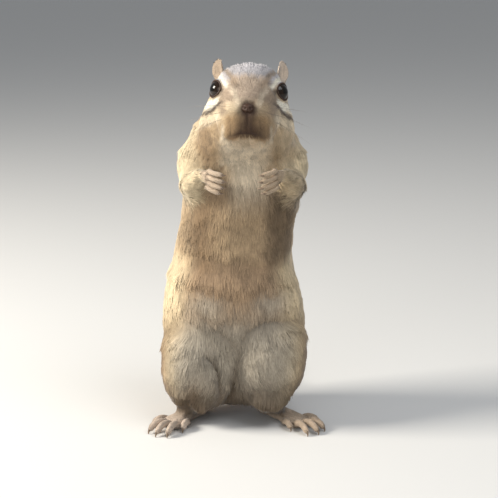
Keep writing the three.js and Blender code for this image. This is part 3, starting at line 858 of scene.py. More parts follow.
def markings_and_painted_light(points, owner, tones):
    """The coat's colour at each point: its region's ground colour, then each marking, painted shade and
    painted light laid over it in turn.
    A mask of soft steps and bells of place is the share by which the colour moves to the marking's."""
    before, above, left = head_places(points).T
    x, y, z = points.T
    wide = np.abs(left)
    ground = {"ear": "ear", "palm": "paw", "sole": "paw", "finger": "paw", "toe": "paw", "bare": "bare"}
    colour = np.empty((len(points), 3))
    for name in REGION_NAMES:
        colour[owner == region(name)] = tones[ground.get(name, "flank")]

    def lay(tone, mask, *names):
        """Moves the colour of the named regions by the mask's share of the way to a tone."""
        share = np.clip(mask * is_in(owner, *names), 0, 1)[:, None]
        colour[:] = colour + share * (tones[tone] - colour)

    # The trunk's middle line leans left as it rises. turn is the angle round it, 0 in front and 180 behind.
    centre = np.interp(z, [30, 60, 115], [-0.5, 0, 5.2])
    turn = np.degrees(np.abs(np.arctan2(x - centre, -(y + 1))))
    trunk = ("neck", "thorax", "abdomen")
    lower = ("abdomen", "thigh", "shank")
    masses = (*trunk, "thigh", "upper_arm", "shank")
    ribs = smoothstep(60, 72, z) * smoothstep(94, 82, z)
    lay("belly", smoothstep(64, 34, turn), *trunk)
    # Browner hair of the ribs, partly painted shade under the arms.
    lay("side", ribs * smoothstep(105, 70, turn), "thorax", "upper_arm")
    lay("haunch", smoothstep(66, 34, turn) * smoothstep(54, 38, z), *lower)
    # Painted shade under the arms, on the chest's sides, stronger under the left arm than the right.
    left_underarm_shade = smoothstep(9, 14, x) * smoothstep(58, 68, z) * smoothstep(98, 90, z)
    lay("fold", 0.8 * (left_underarm_shade * smoothstep(85, 60, turn)), "thorax")
    right_underarm_shade = smoothstep(-6, -12, x) * smoothstep(66, 72, z) * smoothstep(86, 79, z)
    lay("fold", 0.6 * (right_underarm_shade * smoothstep(75, 50, turn)), "thorax")
    forward = smoothstep(0, -8, y)
    for across, height in ((-9.5, 50.5), (13, 51)):
        mound = np.hypot((x - across) / 6.5, (z - height) / 3.6)
        lay("haunch", 0.8 * smoothstep(1.6, 0, mound) * forward, "thorax", "abdomen", "thigh")
    lay("rust_and_shade", smoothstep(52, 28, z) * smoothstep(44, 68, turn), *lower)
    lay("rust_and_shade", 0.8 * bell(x + 13.4, 2.2) * bell(z - 15, 5) * forward, "thigh", "shank")
    lay("back", smoothstep(112, 140, turn), *masses)
    lay("rump", smoothstep(48, 26, z) * smoothstep(80, 115, turn), *masses)
    # Painted shade in the creases of the lower belly and haunches, then low on the front, darker towards the
    # floor.
    lay("fold", 0.85 * np.minimum(fold_depth(points - vector(0, 0, 1.6)), 1), *lower)
    lay("fold", 0.9 * smoothstep(25, 9, z) * smoothstep(95, 60, turn), *lower)
    stripes = smoothstep(24, 40, z) * smoothstep(118, 108, z)
    for angle, half, tone in ((128, 5, "dark"), (138.5, 5.5, "pale"), (149, 5, "dark"), (180, 5, "dark")):
        lay(tone, band(turn, angle, half, 5) * stripes, *trunk)
    lay("pouch", smoothstep(92, 98, z) * smoothstep(118, 98, turn), "neck", "thorax", "upper_arm")
    lay("sleeve", smoothstep(120, 95, turn) * smoothstep(102, 93, z), "upper_arm", "forearm")
    # Paler outer sides of the pouches and shoulders: partly cream hair, partly a painted highlight.
    outer = smoothstep(14, 18, np.abs(x - 5.2)) * smoothstep(86, 92, z) * smoothstep(116, 108, z)
    lay("sleeve", 0.85 * outer * smoothstep(120, 95, turn), "neck", "thorax", "upper_arm")
    bib = smoothstep(80, 96, z) * smoothstep(9, 3, np.abs(x - 5)) * smoothstep(-4, -8, y)
    lay("throat", bib, "neck", "thorax")

    lay("pouch", np.ones_like(z), "head")
    lay("cheek", smoothstep(-7, -3.5, above), "head")
    # Painted shade down the front of the right pouch, and painted light on the left pouch.
    shade = bell(left + 14, 3.2) * smoothstep(-2.5, -6, above) * smoothstep(10, 15, before)
    lay("rust_and_shade", 0.6 * shade, "head", "neck", "thorax", "upper_arm")
    light = smoothstep(9, 13, left) * smoothstep(-2, -6, above) * smoothstep(10, 15, before)
    lay("cheek", 0.5 * light, "head", "neck")
    lay("forehead", smoothstep(-2, 3, above) * smoothstep(10.5, 7.5, wide), "head")
    lay("crown", smoothstep(29, 25.5, before) * smoothstep(6, 9, above), "head")
    lay("back", smoothstep(7, 0, before) * smoothstep(-2, 4, above), "head")
    lay("throat", smoothstep(-9.5, -12.5, above) * smoothstep(11, 6, wide), "head")
    lip = smoothstep(30, 35, before) * smoothstep(-1.5, -4.5, above)
    lay("muzzle", lip * smoothstep(9.5, 5.5, wide), "head")
    # Painted shade on the left of the muzzle beside the nose, away from the key light, in a rusty brown tone.
    brown = bell(left - 5.5, 4) * bell(above + 0.5, 4.5) * smoothstep(24, 30, before)
    lay("rust_and_shade", 0.6 * brown, "head")
    for tone, knots, half, soft, strength in FACE_LINES:
        lay(tone, strength * face_line(points, knots, half, soft), "head")
    low = above - mouth_height(left)
    snout = smoothstep(31, 35, before) * smoothstep(-0.8, 0.8, low)
    # Brown hair under the nose with painted shade over it: the shade below the nose, and the broader patch
    # leaning to the left side, away from the key light.
    lay("lip_brown_and_shade", 0.95 * bell(left, 2.2) * smoothstep(0, -3, above) * snout, "head")
    lay("lip_brown_and_shade", 0.8 * bell(left - 1.5, 4.4) * smoothstep(-3, -8, above) * snout, "head")
    lay("nose_hair_and_mouth_shade", smoothstep(1.5, 0.7, np.hypot(left / 2.4, (above + 1.5) / 2.2)) * snout, "head")
    # Painted shade along the crease of the mouth, in the darkest hair tone.
    lay("nose_hair_and_mouth_shade", bell(low, 0.7) * smoothstep(28, 34, before) * smoothstep(8, 2, wide), "head")
    chin = smoothstep(-0.8, -2, low) * smoothstep(26, 31, before)
    lay("throat", 0.5 * chin * smoothstep(11, 8, wide), "head")

    lay("pouch", np.full_like(z, 0.4), "palm", "finger")
    # Painted shade: the left forearm, hand and foot are coloured darker than the right, on the side away from
    # the key light.
    lay("side", 0.45 * smoothstep(2, 9, x), "forearm", "palm", "finger", "sole", "toe")
    lay("ear_inside", smoothstep(0.0, 0.4, ear_front(points)), "ear")
    # Painted shade: the right ear, which faces the key light, is coloured darker than the left.
    lay("brown_and_ear_shade", 0.75 * smoothstep(0, -2, left), "ear")
    lay("tail_under", smoothstep(4.6, 3.0, z), "tail")
    lay("tail_top", smoothstep(4.2, 6.2, z), "tail")
    return colour


def ear_front(points):
    """How far a point stands out of the parabola in the middle of its ear's thickness, towards the hollow."""
    side = np.where(head_places(points)[:, 2:] > 0, 1.0, -1.0)
    root = np.where(side > 0, ear_root(1), ear_root(-1))
    out_x, out_y = EAR_TURN
    outward = unit(side * vector(out_x, 0, 0) + vector(0, -out_y, 0))
    across = unit(side * vector(out_y, 0, 0) + vector(0, out_x, 0))
    reach = dots(points - root, across)[:, 0]
    return dots(points - root, outward)[:, 0] - EAR_CUP * ((reach / EAR_HALF) ** 2 - 0.5)


# ---- tufts ---------------------------------------------------------------------------------------------


def scattered(points, triangles, density, limit, rng):
    """Root places spread over triangles in proportion to their area times the density at their corners: each
    root's triangle, and the weights of its corners."""
    a, b, c = (points[triangles[:, k]] for k in range(3))
    area = np.linalg.norm(np.cross(b - a, c - a), axis=1) / 2
    share = area * density[triangles].mean(axis=1)
    total = min(int(share.sum()), limit)
    chosen = np.searchsorted(np.cumsum(share), (np.arange(total) + rng.random(total)) * share.sum() / total)
    chosen = np.minimum(chosen, len(triangles) - 1)
    u, v = rng.random((2, total))
    folded = u + v > 1
    u, v = np.where(folded, 1 - u, u), np.where(folded, 1 - v, v)
    return chosen, np.stack([1 - u - v, u, v], axis=1)


# A lock's points are the three corners of its foot, the three of its middle and its tip. LOCK_ALONG is the
# place of each from root to tip.
LOCK_FACES = np.array(
    [[0, 2, 1], [0, 1, 4], [0, 4, 3], [1, 2, 5], [1, 5, 4]]
    + [[2, 0, 3], [2, 3, 5], [3, 4, 6], [4, 5, 6], [5, 3, 6]]
)
LOCK_ALONG = np.array([0, 0, 0, 0.55, 0.55, 0.55, 1.0])
LOCK_POINTS = len(LOCK_ALONG)


def lock_shells(roots, normals, lie, length, lift, width, bend, pull):
    """Tapered three-sided locks, and each point's shading normal.

    A lock's middle line leaves the skin at its lift and flattens as it goes. Its height is its length times
    the lift's tangent times (a - 0.42 a squared), with a running from 0 to 1, less half the skin's bend times
    the square of the reach. Its tip is drawn to the middle of its clump, and its section is a low triangle.
    """
    side = np.cross(normals, lie)
    along = LOCK_ALONG[::3]
    rise = np.tan(lift)[:, None] * (along - 0.42 * along**2)
    reach = length[:, None] * along
    height = length[:, None] * rise - 0.5 * bend * reach**2 - 0.06
    draw = pull[:, None] * (along**1.4)[None, :, None]
    line = roots[:, None] + reach[..., None] * lie[:, None] + height[..., None] * normals[:, None] + draw
    points = np.empty((len(roots), LOCK_POINTS, 3))
    shade = np.empty_like(points)
    for ring, share in enumerate((1.0, 0.8)):
        half = (0.5 * share * width)[:, None] * side
        for corner, offset in enumerate((-half, half, 0.66 * share * width[:, None] * normals)):
            points[:, 3 * ring + corner] = line[:, ring] + offset
        for corner, turn in enumerate((-0.4, 0.4, 0.0)):
            shade[:, 3 * ring + corner] = normals + turn * side
    points[:, 6] = line[:, 2]
    shade[:, 6] = normals + 0.2 * lie
    triangles = LOCK_FACES[None] + LOCK_POINTS * np.arange(len(roots))[:, None, None]
    return points.reshape(-1, 3), triangles.reshape(-1, 3), unit(shade).reshape(-1, 3)


PATCH = 0.003


def patch_map(mesh, roots_uv):
    """Stores OFBake: each lock is a patch PATCH across at its root's place on the skin's unwrap."""
    low, high = roots_uv.min(0), roots_uv.max(0)
    place = PATCH + (roots_uv - low) / (high - low) * (1 - 2 * PATCH)
    across = np.array([-0.5, 0.5, 0, -0.5, 0.5, 0, 0])
    up = LOCK_ALONG - 0.5 - np.array([0, 0, 0.25, 0, 0, 0.25, 0])
    uv = place[:, None] + PATCH * np.stack([across, up], axis=1)[None]
    corners = read(mesh.loops, "vertex_index", 1, np.int32)[:, 0]
    layer = mesh.uv_layers.new(name="OFBake")
    layer.uv.foreach_set("vector", uv.reshape(-1, 2)[corners].ravel().astype(np.float32))


def unwrapped(points, triangles):
    """The unwrap of part of the skin: three corners' places for each of its triangles."""
    used, local = np.unique(triangles, return_inverse=True)
    piece = new_piece("unwrap", points[used], local.reshape(-1, 3))
    bpy.context.view_layer.objects.active = piece
    bpy.ops.object.select_all(action="DESELECT")
    piece.select_set(True)
    bpy.ops.object.mode_set(mode="EDIT")
    bpy.ops.mesh.select_all(action="SELECT")
    bpy.ops.uv.smart_project(angle_limit=np.radians(66), island_margin=0.004)
    bpy.ops.object.mode_set(mode="OBJECT")
    places = read(piece.data.uv_layers.active.uv, "vector", 2).reshape(-1, 3, 2)
    bpy.data.objects.remove(piece)
    return places


def clumps(roots, size):
    """Each lock's clump, which is the cell of a wavy grid that its root is in, and the way to its middle."""
    cell = np.floor((roots + 0.25 * size * np.sin(1.7 * roots[:, [1, 2, 0]] / size)) / size).astype(np.int64)
    _, clump = np.unique(cell, axis=0, return_inverse=True)
    clump = clump.reshape(-1)
    count = np.bincount(clump)[:, None]
    centre = np.stack([np.bincount(clump, roots[:, k]) for k in range(3)], axis=1) / count
    return clump, centre[clump] - roots


def coat_pieces(points, owner):
    """Each piece of the coat: the points it grows on, its slot and its locks for each square millimetre."""
    before, above, left = head_places(points).T
    front = np.abs(np.arctan2(points[:, 0] - 1.5, -(points[:, 1] + 1))) < np.radians(95)
    head, chest, belly = is_in(owner, "head"), is_in(owner, "neck", "thorax"), is_in(owner, "abdomen")
    leg = is_in(owner, "thigh", "shank")
    crown = head & (above > 3.5 - 0.25 * (before - 20)) & (before < 34)
    muzzle = head & ~crown & (before > 26)
    cheek = head & ~crown & ~muzzle
    return {
        "coat_muzzle": (muzzle, "coat_face", 21.0),
        "coat_crown": (crown, "coat_face", 12.0),
        "coat_cheek_right": (cheek & (left < 0), "coat_face", 11.0),
        "coat_cheek_left": (cheek & (left >= 0), "coat_face", 11.0),
        "coat_chest": (chest & front, "coat_belly", 6.8),
        "coat_shoulders": (chest & ~front, "coat_back", 4.6),
        "coat_belly": (belly & front, "coat_belly", 6.0),
        "coat_rump": (belly & ~front, "coat_back", 4.4),
        "coat_arms": (is_in(owner, "upper_arm", "forearm"), "coat_flank", 9.0),
        "coat_leg_right": (leg & (points[:, 0] < 0), "coat_flank", 6.0),
        "coat_leg_left": (leg & (points[:, 0] >= 0), "coat_flank", 6.0),
        "coat_paws": (is_in(owner, "palm", "sole", "finger", "toe"), "paw", 10.0),
        "coat_ears": (is_in(owner, "ear"), "coat_face", 20.0),
        "coat_tail": (is_in(owner, "tail"), "coat_tail", 11.5),
    }


# ---- materials -----------------------------------------------------------------------------------------


def node(tree, kind, **settings):
    """A shader node with its properties set, and its input sockets where a setting's name is one of them."""
    made = tree.nodes.new("ShaderNode" + kind)
    for name, value in settings.items():
        label = name.replace("_", " ")
        if label in made.inputs:
            made.inputs[label].default_value = value
        else:
            setattr(made, name, value)
    return made


def wire(tree, *wires):
    """Links one node's output to another's input for each (node, output, node, input)."""
    for source, output, target, socket in wires:
        tree.links.new(source.outputs[output], target.inputs[socket])


def hair_tone_group():
    """Shade along a hair and fine mottling, as a colour and a roughness that both change over the surface.

    The colour is scaled by a shade that runs from root to tip, by fine noise of 1 plus or minus the mottle,
    and by broad noise. Roughness follows the fine noise.
    """
    tree = bpy.data.node_groups.new("hair_tone", "ShaderNodeTree")
    for name, kind, default in (
        ("Colour", "NodeSocketColor", (0.5, 0.4, 0.3, 1)),
        ("Along", "NodeSocketFloat", 0.5),
        ("Root shade", "NodeSocketFloat", 0.72),
        ("Tip shade", "NodeSocketFloat", 1.1),
        ("Mottle scale", "NodeSocketFloat", 700.0),
        ("Mottle", "NodeSocketFloat", 0.22),
    ):
        tree.interface.new_socket(name, in_out="INPUT", socket_type=kind).default_value = default
    tree.interface.new_socket("Colour", in_out="OUTPUT", socket_type="NodeSocketColor")
    tree.interface.new_socket("Roughness", in_out="OUTPUT", socket_type="NodeSocketFloat")
    given = tree.nodes.new("NodeGroupInput")
    result = tree.nodes.new("NodeGroupOutput")
    place = node(tree, "TexCoord")
    grain = node(tree, "TexNoise", Detail=3.0, Roughness=0.6)
    patches = node(tree, "TexNoise", Scale=85.0, Detail=2.0)
    shade = node(tree, "MapRange", clamp=True)
    spread = node(tree, "MapRange")
    broad = node(tree, "MapRange", To_Min=0.86, To_Max=1.14)
    both, every = (node(tree, "Math", operation="MULTIPLY") for _ in range(2))
    tinted = node(tree, "VectorMath", operation="SCALE")
    rough = node(tree, "MapRange", To_Min=0.62, To_Max=0.86)
    low, high = (node(tree, "Math", operation=operation) for operation in ("SUBTRACT", "ADD"))
    for limit in (low, high):
        limit.inputs[0].default_value = 1.0
    wire(
        tree,
        (place, "Object", grain, "Vector"),
        (place, "Object", patches, "Vector"),
        (given, "Mottle scale", grain, "Scale"),
        (given, "Along", shade, "Value"),
        (given, "Root shade", shade, "To Min"),
        (given, "Tip shade", shade, "To Max"),
        (given, "Mottle", low, 1),
        (given, "Mottle", high, 1),
        (grain, "Fac", spread, "Value"),
        (low, 0, spread, "To Min"),
        (high, 0, spread, "To Max"),
        (patches, "Fac", broad, "Value"),
        (spread, 0, both, 0),
        (broad, 0, both, 1),
        (both, 0, every, 0),
        (shade, 0, every, 1),
        (given, "Colour", tinted, 0),
        (every, 0, tinted, "Scale"),
        (tinted, 0, result, "Colour"),
        (grain, "Fac", rough, "Value"),
        (rough, 0, result, "Roughness"),
    )
    return tree


def hair_tones(tree, **settings):
    """The hair tone group placed in a material with its own values, fed by the coat's stored colour."""
    group = bpy.data.node_groups.get("hair_tone") or hair_tone_group()
    made = node(tree, "Group", node_tree=group, **settings)
    wire(tree, (stored(tree, "coat_colour"), "Color", made, "Colour"))
    return made


def stored(tree, name):
    """The node that reads one of the mesh's stored values."""
    return node(tree, "Attribute", attribute_name=name)


def ramped(tree, surface, name, first, last):
    """Makes Base Color run from the first colour to the last while a stored value goes from 0 to 1."""
    ramp = node(tree, "ValToRGB")
    for stop, colour in zip(ramp.color_ramp.elements, (first, last)):
        stop.color = (*colour, 1)
    wire(tree, (stored(tree, name), "Fac", ramp, "Fac"), (ramp, "Color", surface, "Base Color"))


def clouded(tree, surface, scale, least, most):
    """Makes Roughness wander between two values as noise of that scale does."""
    cloud = node(tree, "TexNoise", Scale=scale)
    rough = node(tree, "MapRange", To_Min=least, To_Max=most)
    wire(
        tree,
        (node(tree, "TexCoord"), "Object", cloud, "Vector"),
        (cloud, "Fac", rough, "Value"),
        (rough, 0, surface, "Roughness"),
    )


def new_material(name, **settings):
    """A material with a Principled surface, its own sockets set."""
    material = bpy.data.materials.new(name)
    material.use_nodes = True
    tree = material.node_tree
    surface = tree.nodes["Principled BSDF"]
    for socket, value in settings.items():
        surface.inputs[socket.replace("_", " ")].default_value = value
    return material, tree, surface


def coat_material():
    """Hair: the colour of the coat's marks, painted shade and painted light, darker at the root and lighter
    at the tip, with a soft sheen.
    """
    sheen = {"Sheen_Weight": 0.25, "Sheen_Roughness": 0.45}
    material, tree, surface = new_material("coat", Specular_IOR_Level=0.3, **sheen)
    tone = hair_tones(tree)
    wire(
        tree,
        (stored(tree, "along"), "Fac", tone, "Along"),
        (tone, "Colour", surface, "Base Color"),
        (tone, "Roughness", surface, "Roughness"),
    )
    return material


def skin_material():
    """Skin with the coat's own colours, painted shade and painted light, and a nap of very short hair; bare
    skin is smoother.
    """
    material, tree, surface = new_material("skin", Specular_IOR_Level=0.35)
    tone = hair_tones(tree, Along=0.5, Root_shade=0.7, Tip_shade=0.9)
    rough = node(tree, "Mix", data_type="FLOAT")
    rough.inputs[3].default_value = 0.52
    nap = node(tree, "TexNoise", Scale=2200.0, Detail=2.0)
    bump = node(tree, "Bump", Strength=0.35, Distance=0.2 * MM)
    wire(
        tree,
        (tone, "Colour", surface, "Base Color"),
        (stored(tree, "bare"), "Fac", rough, 0),
        (tone, "Roughness", rough, 2),
        (rough, 0, surface, "Roughness"),
        (node(tree, "TexCoord"), "Object", nap, "Vector"),
        (nap, "Fac", bump, "Height"),
        (bump, "Normal", surface, "Normal"),
    )
    return material


def eye_material():
    """A wet, nearly black eye with a brown iris that only shows against the light."""
    material, tree, surface = new_material("eye", Roughness=0.1, IOR=1.3, Coat_Weight=0.5, Coat_IOR=1.25)
    ramped(tree, surface, "iris", (0.005, 0.004, 0.003), (0.016, 0.009, 0.005))
    return material


def horn_material():
    """Claws: dark brown horn, paler towards the point, with fine streaks."""
    material, tree, surface = new_material("horn", Specular_IOR_Level=0.5)
    ramped(tree, surface, "along", (0.075, 0.045, 0.03), (0.28, 0.2, 0.13))
    clouded(tree, surface, 1500.0, 0.25, 0.5)
    return material


def whisker_material():
    """Whiskers: dark at the root and pale at the tip."""
    material, tree, surface = new_material("whisker", Roughness=0.4)
    ramped(tree, surface, "along", (0.03, 0.02, 0.015), (0.3, 0.25, 0.2))
    return material


def floor_material():
    """A plain pale floor, matt, with the faintest unevenness."""
    material, tree, surface = new_material("floor", Base_Color=(0.72, 0.71, 0.69, 1), Specular_IOR_Level=0.2)
    clouded(tree, surface, 6.0, 0.75, 0.9)
    return material


# ---- settings -------------------------------------------------------------------------------------------


def colour_setting(name, description, default):
    """A colour that the user can change."""
    kind = {"size": 3, "min": 0, "max": 1, "subtype": "COLOR"}
    return FloatVectorProperty(name=name, description=description, default=default, **kind)


class ChipmunkColours(bpy.types.PropertyGroup):
    """Colours of the coat's marks and of its painted shade and light, on skin and coat alike."""

    belly: colour_setting("Belly", "Warm buff of the chest and belly", (0.36, 0.245, 0.148))
    haunch: colour_setting("Haunches", "Greyer buff on the front of the haunches", (0.37, 0.32, 0.25))
    throat: colour_setting("Throat", "Pale hair under the chin and beside the muzzle", (0.66, 0.56, 0.42))
    flank: colour_setting("Flank", "Golden tan of the sides", (0.62, 0.49, 0.31))
    # Ribs: browner hair, also used as painted shade under the arms and on the left forearm and paws.
    side: colour_setting("Ribs", "Browner hair of the ribs", (0.38, 0.27, 0.16))
    # Rusty buff of the lower sides and a shank patch, also used as painted shade on the right pouch and
    # beside the nose.
    rust_and_shade: colour_setting("Hips", "Rusty buff low on the sides", (0.2, 0.125, 0.065))
    back: colour_setting("Back", "Grey-brown between the back stripes", (0.27, 0.2, 0.13))
    rump: colour_setting("Rump", "Rufous of the rump", (0.4, 0.22, 0.09))
    # Painted shade, laid in the creases, under the arms and low on the front near the floor.
    fold: colour_setting("Folds", "Shaded roots that show in the folds", (0.11, 0.075, 0.045))
    sleeve: colour_setting("Arms", "Buff of the forelimbs", (0.64, 0.52, 0.34))
    dark: colour_setting("Dark stripes", "Back and face stripes", (0.06, 0.038, 0.024))
    pale: colour_setting("Pale stripes", "Cream back and face stripes", (0.86, 0.79, 0.65))
    crown: colour_setting("Crown", "Grizzled grey of the head's top", (0.5, 0.47, 0.475))
    # Dark brown of the face stripes, also used as painted shade on the right ear.
    brown_and_ear_shade: colour_setting("Crown's edge", "Brown above the pale brow", (0.3, 0.22, 0.15))
    forehead: colour_setting("Forehead", "Buff-brown between the eyes", (0.46, 0.355, 0.265))
    cheek: colour_setting("Cheeks", "Buff of the cheeks", (0.6, 0.48, 0.32))
    pouch: colour_setting("Pouches", "Tan of the full pouches", (0.45, 0.33, 0.2))
    # Brown hair under the nose with painted shade below the nose.
    lip_brown_and_shade: colour_setting("Lip's middle", "Brown hair between nose and lips", (0.06, 0.032, 0.017))
    # Darkest hair round the nose, also used as painted shade along the mouth's crease.
    nose_hair_and_mouth_shade: colour_setting("Nose's hair", "Darkest hair, round the nose and lips", (0.06, 0.03, 0.017))
    muzzle: colour_setting("Muzzle", "Brown of the upper lip", (0.42, 0.28, 0.15))
    ear: colour_setting("Ears", "Back of the ears", (0.62, 0.5, 0.39))
    ear_inside: colour_setting("Ear insides", "Thinly haired hollow of the ears", (0.56, 0.46, 0.37))
    paw: colour_setting("Paws", "Short hair of hands and feet", (0.6, 0.48, 0.38))
    bare: colour_setting("Bare skin", "Nose and eyelids", (0.06, 0.028, 0.015))
    tail_top: colour_setting("Tail", "Upper side of the tail", (0.16, 0.11, 0.07))
    tail_under: colour_setting("Tail below", "Rufous underside of the tail", (0.42, 0.24, 0.11))


class ChipmunkCoat(bpy.types.PropertyGroup):
    """How long, dense and loose the coat is."""

    length: FloatProperty(
        name="Length", description="Share of each region's own hair length", default=1.0, min=0.3, max=1.3
    )
    clump: FloatProperty(
        name="Clump size",
        description="Distance over which locks draw together",
        default=3.0 * MM,
        min=0.5 * MM,
        max=10 * MM,
        subtype="DISTANCE",
        unit="LENGTH",
    )
    most: IntProperty(
        name="Most locks",
        description="Most locks in one piece of the coat",
        default=19500,
        min=100,
        max=19900,
    )
    seed: IntProperty(name="Seed", description="Start of the random draws", default=11, min=0)


# ---- operators ------------------------------------------------------------------------------------------


class CHIPMUNK_OT_skin(bpy.types.Operator):
    """Builds the one skin that stands for every node of flesh"""

    bl_idname = "chipmunk.skin"
    bl_label = "Skin"

    def execute(self, context):
        points, triangles, owner = skin_shells()
        normals = corner_normals(points, triangles)
        edges = edges_of(triangles)
        lie = lie_of_coat(points, normals, owner, edges)
        skin = new_piece("skin", points, triangles, skin_material())
        mesh = skin.data
        colour = markings_and_painted_light(points, owner, tones_of(context))
        soft = ~is_in(owner, "head", "ear", "bare")[:, None]
        colour = relaxed(colour, edges, 6, 0.5 * soft)
        add_values(mesh, "coat_colour", "FLOAT_COLOR", colour)
        add_values(mesh, "bare", "FLOAT", (owner == region("bare")).astype(float))
        add_values(mesh, "region", "INT", owner)
        add_values(mesh, "lie", "FLOAT_VECTOR", lie)
        add_values(mesh, "bend", "FLOAT", bend_along(points, normals, lie, edges))
        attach(skin, BODY)
        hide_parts(*HIDDEN_NODES)
        return {"FINISHED"}


def tones_of(context):
    """The user's colours by name."""
    colours = context.scene.chipmunk_colours
    return {name: np.array(getattr(colours, name)) for name in ChipmunkColours.__annotations__}


# How the locks of a coat differ: the spread of what a whole clump shares and of each lock's own, as shares of
# 1, and the least and most of their sum. Then the spread of the lie from lock to lock, how far it drifts and
# over how many millimetres, the steepest lift, and how far a tip is drawn to the middle of its clump.
VARIETY = {"length": (0.09, 0.12, 0.5, 1.4), "lift": (0.15, 0.2, 0.25, 1.6), "tone": (0.11, 0.1, 0.6, 1.4)}
LIE_SPREAD = 0.13
DRIFT_SPREAD = 0.09
DRIFT_WAVE = 7.0
STEEPEST = np.radians(48)
CLUMP_PULL = 0.42


def varied(what, clump_draw, lock_draw):
    """1 plus each draw times its spread, kept between the least and the most."""
    clump_spread, lock_spread, least, most = VARIETY[what]
    return np.clip(1 + clump_spread * clump_draw + lock_spread * lock_draw, least, most)


class CHIPMUNK_OT_coat(bpy.types.Operator):
    """Covers the skin with locks of hair that follow the lie of the coat"""

    bl_idname = "chipmunk.coat"
    bl_label = "Coat"

    def execute(self, context):
        settings = context.scene.chipmunk_coat
        mesh = bpy.data.objects["skin"].data
        points, triangles = plan_points(mesh), corners_of(mesh)
        owner = taken_values(mesh, "region", 1)[:, 0]
        fields = {
            "normal": corner_normals(points, triangles),
            "lie": taken_values(mesh, "lie", 3),
            "bend": taken_values(mesh, "bend", 1),
            "tone": read(mesh.attributes["coat_colour"].data, "color", 4)[:, :3],
            **hair_fields(points, triangles, owner, edges_of(triangles)),
        }
        fields["length"] *= settings.length
        material = coat_material()
        for order, (name, (inside, slot, density)) in enumerate(coat_pieces(points, owner).items()):
            rng = np.random.default_rng(settings.seed + order)
            chosen = triangles[inside[triangles[:, 0]]]
            piece = self.piece(name, points, chosen, fields, density, settings, rng)
            piece.data.materials.append(material)
            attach(piece, BODY)
        return {"FINISHED"}

    def piece(self, name, points, triangles, fields, density, settings, rng):
        """One piece of the coat: roots scattered on its part of the skin, a lock on each."""
        chosen, weights = scattered(points, triangles, density * fields["density"][:, 0], settings.most, rng)
        corners = triangles[chosen]
        at_root = {key: np.einsum("nk,nkc->nc", weights, value[corners]) for key, value in fields.items()}
        roots = np.einsum("nk,nkc->nc", weights, points[corners])
        count = len(roots)
        up = unit(at_root["normal"])
        way = at_root["lie"] + LIE_SPREAD * rng.normal(size=(count, 3)) + DRIFT_SPREAD * drift(roots)
        way = unit(way - up * dots(way, up))
        clump, pull = clumps(roots, settings.clump / MM)
        loose = rng.normal(size=clump.max() + 1)[clump]
        length = at_root["length"][:, 0] * varied("length", loose, rng.normal(size=count))
        lift = at_root["lift"][:, 0] * varied("lift", loose, rng.normal(size=count))
        lift = np.minimum(lift, STEEPEST)
        width = at_root["width"][:, 0] * rng.uniform(0.75, 1.25, count)
        sideways = np.cross(up, way)
        pull = CLUMP_PULL * sideways * dots(pull, sideways)
        lock, faces, shade = lock_shells(roots, up, way, length, lift, width, at_root["bend"], pull)
        piece = new_piece(name, off_floor(lock, FLOOR_GAP), faces)
        piece.data.normals_split_custom_set_from_vertices(shade)
        tone = at_root["tone"] * varied("tone", loose, rng.normal(size=count))[:, None]
        tone = np.clip(np.repeat(tone, LOCK_POINTS, axis=0), 0, 1)
        add_values(piece.data, "coat_colour", "FLOAT_COLOR", tone)
        add_values(piece.data, "along", "FLOAT", np.tile(LOCK_ALONG, count))
        places = unwrapped(points, triangles)[chosen]
        patch_map(piece.data, np.einsum("nk,nkc->nc", weights, places))
        return piece


def drift(points):
    """Slow wandering of the coat's lie: sines with waves of DRIFT_WAVE in crossed directions."""
    turn = 2 * np.pi / DRIFT_WAVE
    a, b, c = points[:, 0] * turn, points[:, 1] * turn, points[:, 2] * turn
    return np.column_stack([np.sin(b + 0.6 * c + 1.3), np.sin(c + 0.7 * a + 4.1), np.sin(a - 0.8 * b + 2.2)])


def hair_fields(points, triangles, owner, edges):
    """Length, lift, width and density of the hair at each point of the skin: each region's own, relaxed into
    its neighbours'. Hair is shorter towards the nose and eyes and in the folds, stands up more on the tail's
    sides and the crown, and there is none on bare skin, under the soles or under the eyeballs."""
    shares = SHARES[owner, :3] * [1, np.pi / 180, 1]
    fields = np.where(is_in(owner, "ear", "finger", "toe")[:, None], shares, relaxed(shares, edges, 14))
    head = is_in(owner, "head")
    nose_gap = np.linalg.norm(points - on_head(NOSE_PLACE), axis=1)
    short = np.where(head, smoothstep(2, 20, nose_gap), 1)
    density = 1.0 - is_in(owner, "bare")
    for side in SIDES.values():
        eye = Eye(side)
        far, off_axis, round_angle = eye.angles(points)
        past = off_axis - eye.opening(round_angle)
        near = head & (far < EYE_RADIUS + 4)
        short = np.where(near, np.minimum(short, 0.15 + 0.85 * smoothstep(0.1, 0.9, past)), short)
        density[near & (past < 0.06)] = 0
    density[nose_gap < 1.9] = 0
    density[(points[:, 2] < 0.5) & is_in(owner, "sole")] = 0
    length, lift, width = fields.T
    before, above, _ = head_places(points).T
    lift = lift * (1 + 0.9 * np.abs(corner_normals(points, triangles)[:, 0]) * is_in(owner, "tail"))
    lift = lift * (1 + head * smoothstep(10, 13, above) * smoothstep(26, 20, before))
    crease = np.minimum(fold_depth(points), 1) * is_in(owner, "abdomen", "thigh", "shank")
    length = length * (0.3 + 0.7 * short) * (1 - 0.5 * crease)
    width = width * (0.65 + 0.35 * short)
    names = ("length", "lift", "width", "density")
    return {name: value[:, None] for name, value in zip(names, (length, lift, width, density))}


